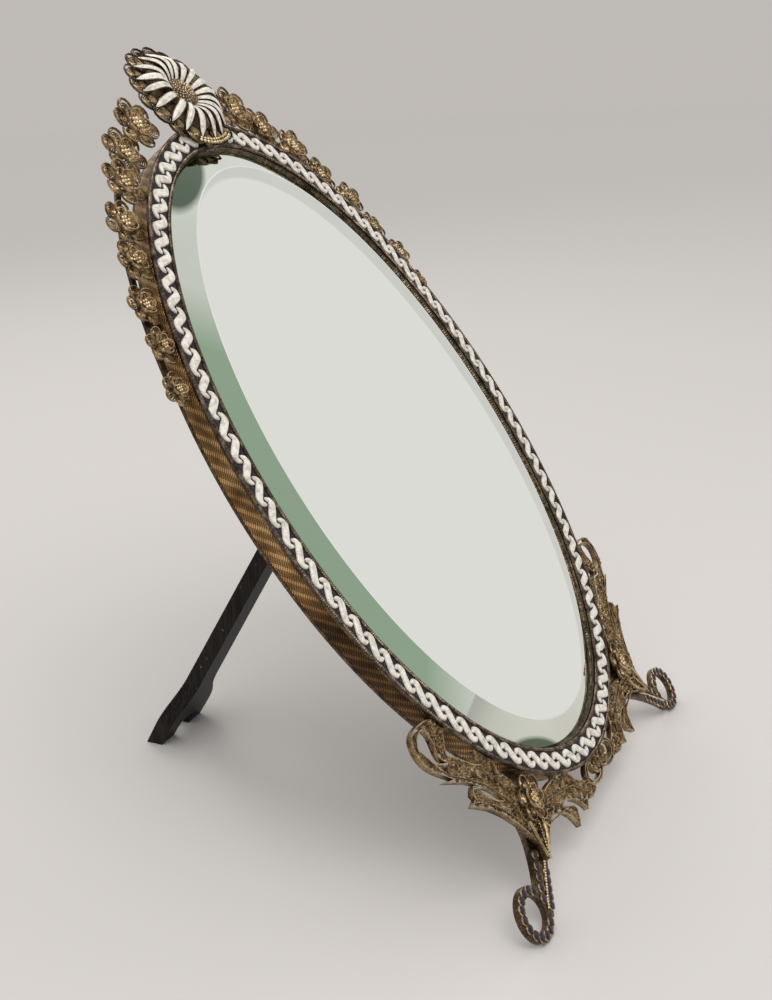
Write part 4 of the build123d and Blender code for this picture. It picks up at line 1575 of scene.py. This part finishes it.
    def make_beads(self) -> None:
        """Sets two rows of beads on the lowest lobes."""
        bm = bmesh.new()
        for count, size, out in self.bead_rows:
            ball = bead(size, self.bead_flatten, 2)
            for index in range(count):
                x, y = polar(out, -90 + self.bead_step * (index - (count - 1) / 2))
                stamp(bm, ball, placed(x, y, self.bead_level))
        finishes, node = [self.palette.gilt], ["crest_granules"]
        self.piece("crest_beads", bm, finishes, Slot.GILT, node, place=self.place)

    def build(self) -> None:
        """Makes the crest."""
        self.make_rosette()
        self.make_daisy()
        self.make_dome()
        self.make_beads()
        self.eased("crest_bracket", self.bracket_ease, self.palette.shaded_gilt, Slot.GILT)
        self.dress(self.palette.brass, "crest_rivets")


@dataclass
class Panel(Assembly):
    """A filigree panel in the outline of a CAD node: a rim, and curls packed inside it."""

    node: str
    name: str
    level: float = -2.02 * MM
    level_step: float = 0.16 * MM
    thickness: float = 2.0 * MM
    rim: float = 0.45 * MM
    pitch: float = 1.75 * MM
    curl: float = 0.78 * MM
    curl_margin: float = 0.3
    curl_shrinks: Point = (0.62, 0.76)
    column_turn: float = 137.5
    row_turn: float = 61
    wire_width: float = 0.36 * MM
    wire_height: float = 0.9 * MM
    sway: float = 8
    grain: float = 0.22 * MM
    grain_rise: float = 0.45 * MM

    def front(self) -> BMesh:
        """Takes the flat front of the node, in face coordinates.

        Returns:
            The front, one sheet of faces.
        """
        bm = copy_of(self.node, FACE.matrix.inverted())
        bm.normal_update()
        top = max(vert.co.z for vert in bm.verts)
        rest = [
            face
            for face in bm.faces
            if face.normal.z < 0.99 or abs(face.calc_center_median().z - top) > 0.02 * MM
        ]
        bmesh.ops.delete(bm, geom=rest, context="FACES")
        bmesh.ops.dissolve_limit(
            bm,
            angle_limit=radians(4),
            use_dissolve_boundaries=False,
            verts=bm.verts[:],
            edges=bm.edges[:],
        )
        return bm

    def framed(self, bm: BMesh) -> Mesh:
        """Turns a front into the rim along its outline, as thick as the panel, and frees it.

        Args:
            bm: The front.

        Returns:
            The rim.
        """
        inner = bmesh.ops.inset_region(
            bm, faces=bm.faces[:], thickness=self.rim, use_boundary=True, use_even_offset=False
        )["faces"]
        rest = list(set(bm.faces) - set(inner))
        bmesh.ops.delete(bm, geom=rest, context="FACES")
        extruded(bm, bm.faces[:], -self.thickness)
        for face in bm.faces:
            face.material_index = 1
        return as_mesh(bm)

    @staticmethod
    def inside(point: Vector, walls: Sequence[tuple[Vector, Vector]], margin: float) -> bool:
        """Whether a point lies inside the outline by at least a margin.

        Args:
            point: The point.
            walls: The outline's edges.
            margin: The least distance to each edge.

        Returns:
            True if it does.
        """
        crossings = 0
        for start, end in walls:
            run = end - start
            share = max(0.0, min(1.0, (point - start).dot(run) / max(run.length_squared, 1e-18)))
            if (point - start - run * share).length < margin:
                return False
            if (start.y > point.y) != (end.y > point.y):
                crossings += point.x < start.x + (point.y - start.y) * run.x / run.y
        return crossings % 2 == 1

    def curls(self) -> list[Mesh]:
        """Makes the curls to stamp: each hand, tight and open.

        Returns:
            The four curls.
        """
        made = []
        for side in (-1, 1):
            for shrink in self.curl_shrinks:
                bm = bmesh.new()
                wire = Wire(bm, self.wire_width, self.wire_height, 4)
                wire.start(self.curl, 0, 90 * side).curl(self.curl, side, 3, shrink).finish()
                made.append(as_mesh(bm))
        return made

    def build(self) -> None:
        """Makes the panel."""
        curls, grain = self.curls(), bead(self.grain)
        front = self.front()
        walls = [
            tuple(vert.co.xy.to_3d() for vert in edge.verts)
            for edge in front.edges
            if edge.is_boundary
        ]
        rim, bm = self.framed(front), bmesh.new()
        stamp(bm, rim, Matrix.Identity(4))
        left, low = (min(wall[0][axis] for wall in walls) for axis in (0, 1))
        right, high = (max(wall[0][axis] for wall in walls) for axis in (0, 1))
        step = self.pitch * sqrt(3) / 2
        margin = self.rim + self.curl_margin * self.curl
        for row in range(ceil((high - low) / step)):
            for column in range(ceil((right - left) / self.pitch)):
                x, y = left + self.pitch * (column + row % 2 / 2), low + step * row
                if self.inside(Vector((x, y, 0)), walls, margin):
                    level = self.level + self.level_step * ((row + 2 * column) % 3)
                    turn = self.column_turn * column + self.row_turn * row
                    place = placed(x, y, level, turn, self.sway * sin(1.7 * column + row))
                    stamp(bm, curls[(row + column) % 4], place)
                    if (row + column) % 3 == 0:
                        stamp(bm, grain, placed(x, y, level + self.grain_rise))
        finishes = [self.palette.sheet_gilt, self.palette.shaded_gilt]
        self.piece(self.name, bm, finishes, Slot.GILT, [self.node])


@dataclass
class Foot(Assembly):
    """One ring foot with its panels, flower, stems and enamel scales.

    Points on it are pairs of millimetres, outwards and up from the crotch or from the ring.
    """

    side: str
    sign: int
    margin: float = 5.2 * MM
    angle: float = 61.3
    leg_out: float = 31.3 * MM
    leg_down: float = 23.7 * MM
    leg_level: float = -4.0 * MM
    leg_ease: float = 0.35 * MM
    ring_radius: float = 8.4 * MM
    ring_hole: float = 5.4 * MM
    scale_size: tuple[float, float, float] = (1.45 * MM, 1.3 * MM, 0.75 * MM)
    scale_rise: float = 0.1 * MM
    ring_scales: int = 12
    ring_start: float = -126
    ring_step: float = 24
    leg_scales: int = 5
    leg_rows: tuple[tuple[Point, Point], ...] = (
        ((-7.3, 0.2), (-15.8, 10.5)),
        ((-8.9, -3.0), (-16.2, 4.1)),
    )
    collar_radius: float = 1.5 * MM
    collar_wire: Point = (0.3 * MM, 0.7 * MM)
    leg_grains: int = 22
    leg_grain_row: tuple[Point, Point] = ((-6.8, -2.5), (-21.4, 9.5))
    leg_grain: float = 0.55 * MM
    leg_grain_rise: float = 0.25 * MM
    stem: Point = (1.3 * MM, 1.1 * MM)
    vein: Point = (0.45 * MM, 0.7 * MM)
    stem_level: float = -1.4 * MM
    stem_grains: int = 13
    stem_grain_row: tuple[Point, Point] = ((8.0, -6.5), (13.0, -16.7))
    stem_grain: float = 0.5 * MM
    stem_grain_level: float = -1.1 * MM
    flower_radius: float = 7.8 * MM
    flower_out: float = 5.2
    flower_level: float = -0.9 * MM

    def spot(self, origin: Vector, point: Point, level: float = 0.0) -> Vector:
        """A point outwards and up from an origin, at a height over the face."""
        return origin + Vector((self.sign * point[0] * MM, point[1] * MM, level))

    def crotch(self) -> Vector:
        """Finds the point beside the wall from which the foot is measured.

        Returns:
            The point.
        """
        x = (FACE.half_width + self.margin) * cos(radians(self.angle))
        y = (FACE.half_height + self.margin) * sin(radians(self.angle))
        return Vector((self.sign * x, -y, 0))

    def ring(self) -> Vector:
        """The middle of the foot's ring."""
        return self.crotch() + Vector((self.sign * self.leg_out, -self.leg_down, 0))

    def places(self) -> list[Matrix]:
        """Sets out the scales: round the ring, and in two rows up the leg.

        Returns:
            Their places on the face.
        """
        ring, level = self.ring(), self.leg_level + self.scale_rise
        middle = (self.ring_radius + self.ring_hole) / 2
        found = []
        for index in range(self.ring_scales):
            angle = self.ring_start + self.ring_step * index
            angle = angle if self.sign > 0 else 180 - angle
            x, y = polar(middle, angle)
            found.append(placed(ring.x + x, ring.y + y, level, 90 + angle))
        for row in self.leg_rows:
            start, end = (self.spot(ring, point) for point in row)
            slope = degrees(atan2(end.y - start.y, end.x - start.x))
            for step in range(self.leg_scales):
                x, y, _ = start.lerp(end, step / (self.leg_scales - 1))
                found.append(placed(x, y, level, slope))
        return found

    def scale(self) -> Mesh:
        """Makes one domed oval enamel scale.

        Returns:
            The scale.
        """
        bm = bmesh.new()
        bmesh.ops.create_uvsphere(bm, u_segments=10, v_segments=6, radius=1)
        bmesh.ops.scale(bm, vec=self.scale_size, verts=bm.verts[:])
        return as_mesh(bm)

    def collar(self) -> Mesh:
        """Makes the gilt edge round a scale.

        Returns:
            The edge.
        """
        bm = bmesh.new()
        Wire(bm, *self.collar_wire, 4).circle(self.collar_radius, 36)
        return as_mesh(bm)

    def make_scales(self) -> None:
        """Sets the scales and their collars on the leg, with a row of granules between them."""
        enamel, gold = bmesh.new(), bmesh.new()
        scale, collar = self.scale(), self.collar()
        for place in self.places():
            stamp(enamel, scale, place)
            stamp(gold, collar, place)
        node = f"{self.side}_foot_scales"
        finishes = [self.palette.scales]
        self.piece(f"{self.side}_enamel_scales", enamel, finishes, Slot.DARK, [node])
        level = self.leg_level + self.leg_grain_rise
        start, end = (self.spot(self.ring(), point, level) for point in self.leg_grain_row)
        stamp_row(gold, bead(self.leg_grain), self.leg_grains, start, end)
        self.piece(f"{self.side}_scale_collars", gold, [self.palette.gilt], Slot.GILT)

    def make_stems(self) -> None:
        """Lays two tubular stems and a row of granules down the tongue, and veins on the panels."""
        bm = bmesh.new()
        crotch = self.crotch()
        for size, heading, first, *points in (
            (self.stem, -70, (11.6, -4.4), (12.9, -10.0), (13.3, -15.8)),
            (self.stem, -80, (4.4, -6.4), (6.2, -10.8), (11.8, -15.4)),
            (self.vein, 100, (13.6, -3.2), (15.6, 6.6), (21.4, 15.0), (30.2, 22.6),
             (36.6, 29.4), (39.6, 36.4)),
            (self.vein, 60, (16.4, -0.6), (22.0, 7.4), (29.6, 12.4)),
            (self.vein, 160, (3.4, -5.4), (-6.0, -6.2), (-16.0, -9.0), (-23.0, -13.2),
             (-30.0, -16.6)),
            (self.vein, 200, (1.0, -11.0), (-6.2, -12.2), (-12.4, -17.4)),
        ):
            wire = Wire(bm, *size, 6, self.stem_level)
            start = self.spot(crotch, first)
            wire.start(start.x, start.y, heading if self.sign > 0 else 180 - heading)
            for point in points:
                spot = self.spot(crotch, point)
                wire.reach(spot.x, spot.y)
            wire.finish()
        start, end = (
            self.spot(crotch, point, self.stem_grain_level) for point in self.stem_grain_row
        )
        stamp_row(bm, bead(self.stem_grain), self.stem_grains, start, end)
        self.piece(f"{self.side}_stems", bm, [self.palette.shaded_gilt], Slot.GILT)

    def build(self) -> None:
        """Makes the foot."""
        side, palette = self.side, self.palette
        self.eased(f"{side}_foot_leg", self.leg_ease, palette.patina, Slot.GILT)
        for part in ("scroll", "wing"):
            Panel(palette, f"{side}_foot_{part}", f"{side}_filigree_{part}").build()
        FiligreeFlower(
            palette,
            f"{side}_filigree_foot_flower",
            f"{side}_foot_flower",
            self.spot(self.crotch(), (self.flower_out, 0.0), self.flower_level),
            self.flower_radius,
        ).build()
        self.make_stems()
        self.make_scales()


@dataclass
class Feet(Assembly):
    """The two feet, and the loops between them."""

    def build(self) -> None:
        """Makes both feet, and dresses their rivets."""
        for side, sign in SIDES:
            Foot(self.palette, side, sign).build()
        self.dress(self.palette.brass, "foot_rivets")
        Panel(self.palette, "bottom_loops", "filigree_loops").build()


@dataclass
class Back(Assembly):
    """The board, hinge, strut, turn buttons and screws."""

    board_ease: float = 0.4 * MM
    strut_ease: float = 0.45 * MM
    leaf_ease: float = 0.12 * MM
    buttons: int = 4

    def build(self) -> None:
        """Dresses the back."""
        brass = self.palette.brass
        self.eased("back_board", self.board_ease, self.palette.board_wood, Slot.EBONY)
        self.eased("strut", self.strut_ease, self.palette.strut_wood, Slot.EBONY, Body.STRUT)
        self.eased("hinge_board_leaf", self.leaf_ease, brass, Slot.BRASS)
        self.eased("hinge_strut_leaf", self.leaf_ease, brass, Slot.BRASS, Body.STRUT)
        self.dress(brass, "hinge_pin", "board_leaf_screws", "strut_leaf_screws")
        self.dress(brass, "turn_button_screws")
        for number in range(self.buttons):
            self.dress(brass, f"turn_button_{number + 1}")


@dataclass
class Studio:
    """A plain pale floor, soft lamps, and the camera at the photograph's angle."""

    floor: Colour = (0.555, 0.535, 0.52)
    floor_rough: float = 0.9
    floor_half: float = 4
    backdrop: Colour = (0.52, 0.492, 0.47)
    daylight: Colour = (1.0, 0.985, 0.965)
    ambient: float = 0.9
    mirrored: Colour = (1.0, 0.99, 0.97)
    mirrored_left: float = 0.42
    mirrored_right: float = 0.78
    mirrored_span: Point = (-0.7, 0.7)
    target: tuple[float, float, float] = (0, 0, 0.12)
    eye: tuple[float, float, float] = (-0.3964, -0.20678, 0.25398)
    azimuth: float = -63.72
    elevation: float = 17.56
    roll: float = -4.0
    lens: float = 48.85
    shift: Point = (0.0033, -0.0274)

    def make_floor(self) -> None:
        """Lays the floor."""
        bm = bmesh.new()
        bmesh.ops.create_grid(bm, x_segments=1, y_segments=1, size=self.floor_half)
        mesh = as_mesh(bm)
        bench = Bench("pale_floor")
        mesh.materials.append(bench.shade(Base_Color=self.floor, Roughness=self.floor_rough))
        floor = bpy.data.objects.new("floor", mesh)
        bpy.context.scene.collection.objects.link(floor)

    def make_world(self) -> None:
        """Lights the room softly, and shows a plain backdrop to the camera and in reflections."""
        world = bpy.data.worlds.new("studio")
        bpy.context.scene.world = world
        nodes = Nodes(world)
        across = nodes.add("SeparateXYZ", {"Vector": nodes.add("TexCoord", {}, "Generated")}, "X")
        lit = nodes.spread(across, self.mirrored_left, self.mirrored_right, self.mirrored_span)
        surface = nodes.add("Background", {"Color": self.daylight, "Strength": self.ambient})
        for ray, inputs in (
            ("Is Glossy Ray", {"Color": self.mirrored, "Strength": lit}),
            ("Is Camera Ray", {"Color": self.backdrop, "Strength": 1.0}),
        ):
            share = nodes.add("LightPath", {}, ray)
            seen = nodes.add("Background", inputs)
            surface = nodes.add("MixShader", {"Fac": share, 1: surface, 2: seen})
        nodes.feed(nodes.tree.nodes["World Output"].inputs["Surface"], surface)

    def lamp(
        self, name: str, place: Sequence[float], size: float, power: float, colour: Colour
    ) -> None:
        """Hangs one square soft lamp that points at the mirror.

        Args:
            name: The lamp's name.
            place: Where it hangs.
            size: The length of its sides.
            power: Its power in watts.
            colour: Its colour.
        """
        data = bpy.data.lights.new(name, "AREA")
        data.shape = "SQUARE"
        data.size = size
        data.energy = power
        data.color = colour
        lamp = bpy.data.objects.new(name, data)
        lamp.location = place
        aim = Vector(self.target) - Vector(place)
        lamp.rotation_euler = aim.to_track_quat("-Z", "Y").to_euler()
        bpy.context.scene.collection.objects.link(lamp)

    def make_camera(self) -> None:
        """Sets the camera where the photograph was taken."""
        side, rise = radians(self.azimuth), radians(self.elevation)
        back = Vector((sin(side) * cos(rise), -cos(side) * cos(rise), sin(rise)))
        right = Vector((cos(side), sin(side), 0))
        axes = Matrix((right, back.cross(right), back)).transposed()
        axes = axes @ Matrix.Rotation(radians(self.roll), 3, "Z")
        data = bpy.data.cameras.new("camera")
        data.lens = self.lens
        data.shift_x, data.shift_y = self.shift
        data.clip_start = 0.01
        camera = bpy.data.objects.new("camera", data)
        camera.matrix_world = Matrix.Translation(self.eye) @ axes.to_4x4()
        bpy.context.scene.collection.objects.link(camera)
        bpy.context.scene.camera = camera

    def build(self) -> None:
        """Sets up the studio."""
        self.make_floor()
        self.make_world()
        self.lamp("key", (-0.50, -0.40, 1.05), size=0.7, power=6.0, colour=(1.0, 0.985, 0.96))
        self.lamp("rim", (0.60, 0.65, 0.95), size=0.5, power=2.5, colour=(1.0, 0.98, 0.95))
        self.make_camera()
        bpy.context.scene.view_settings.view_transform = "Standard"


def main() -> None:
    """Builds the mirror, then the studio."""
    logging.basicConfig(level=logging.INFO, format="%(name)s: %(message)s")
    palette = Palette()
    for group in (Border, Walls, Plate, Garlands, Crest, Feet, Back):
        group(palette).build()
    Studio().build()


if __name__ == "__main__":
    main()
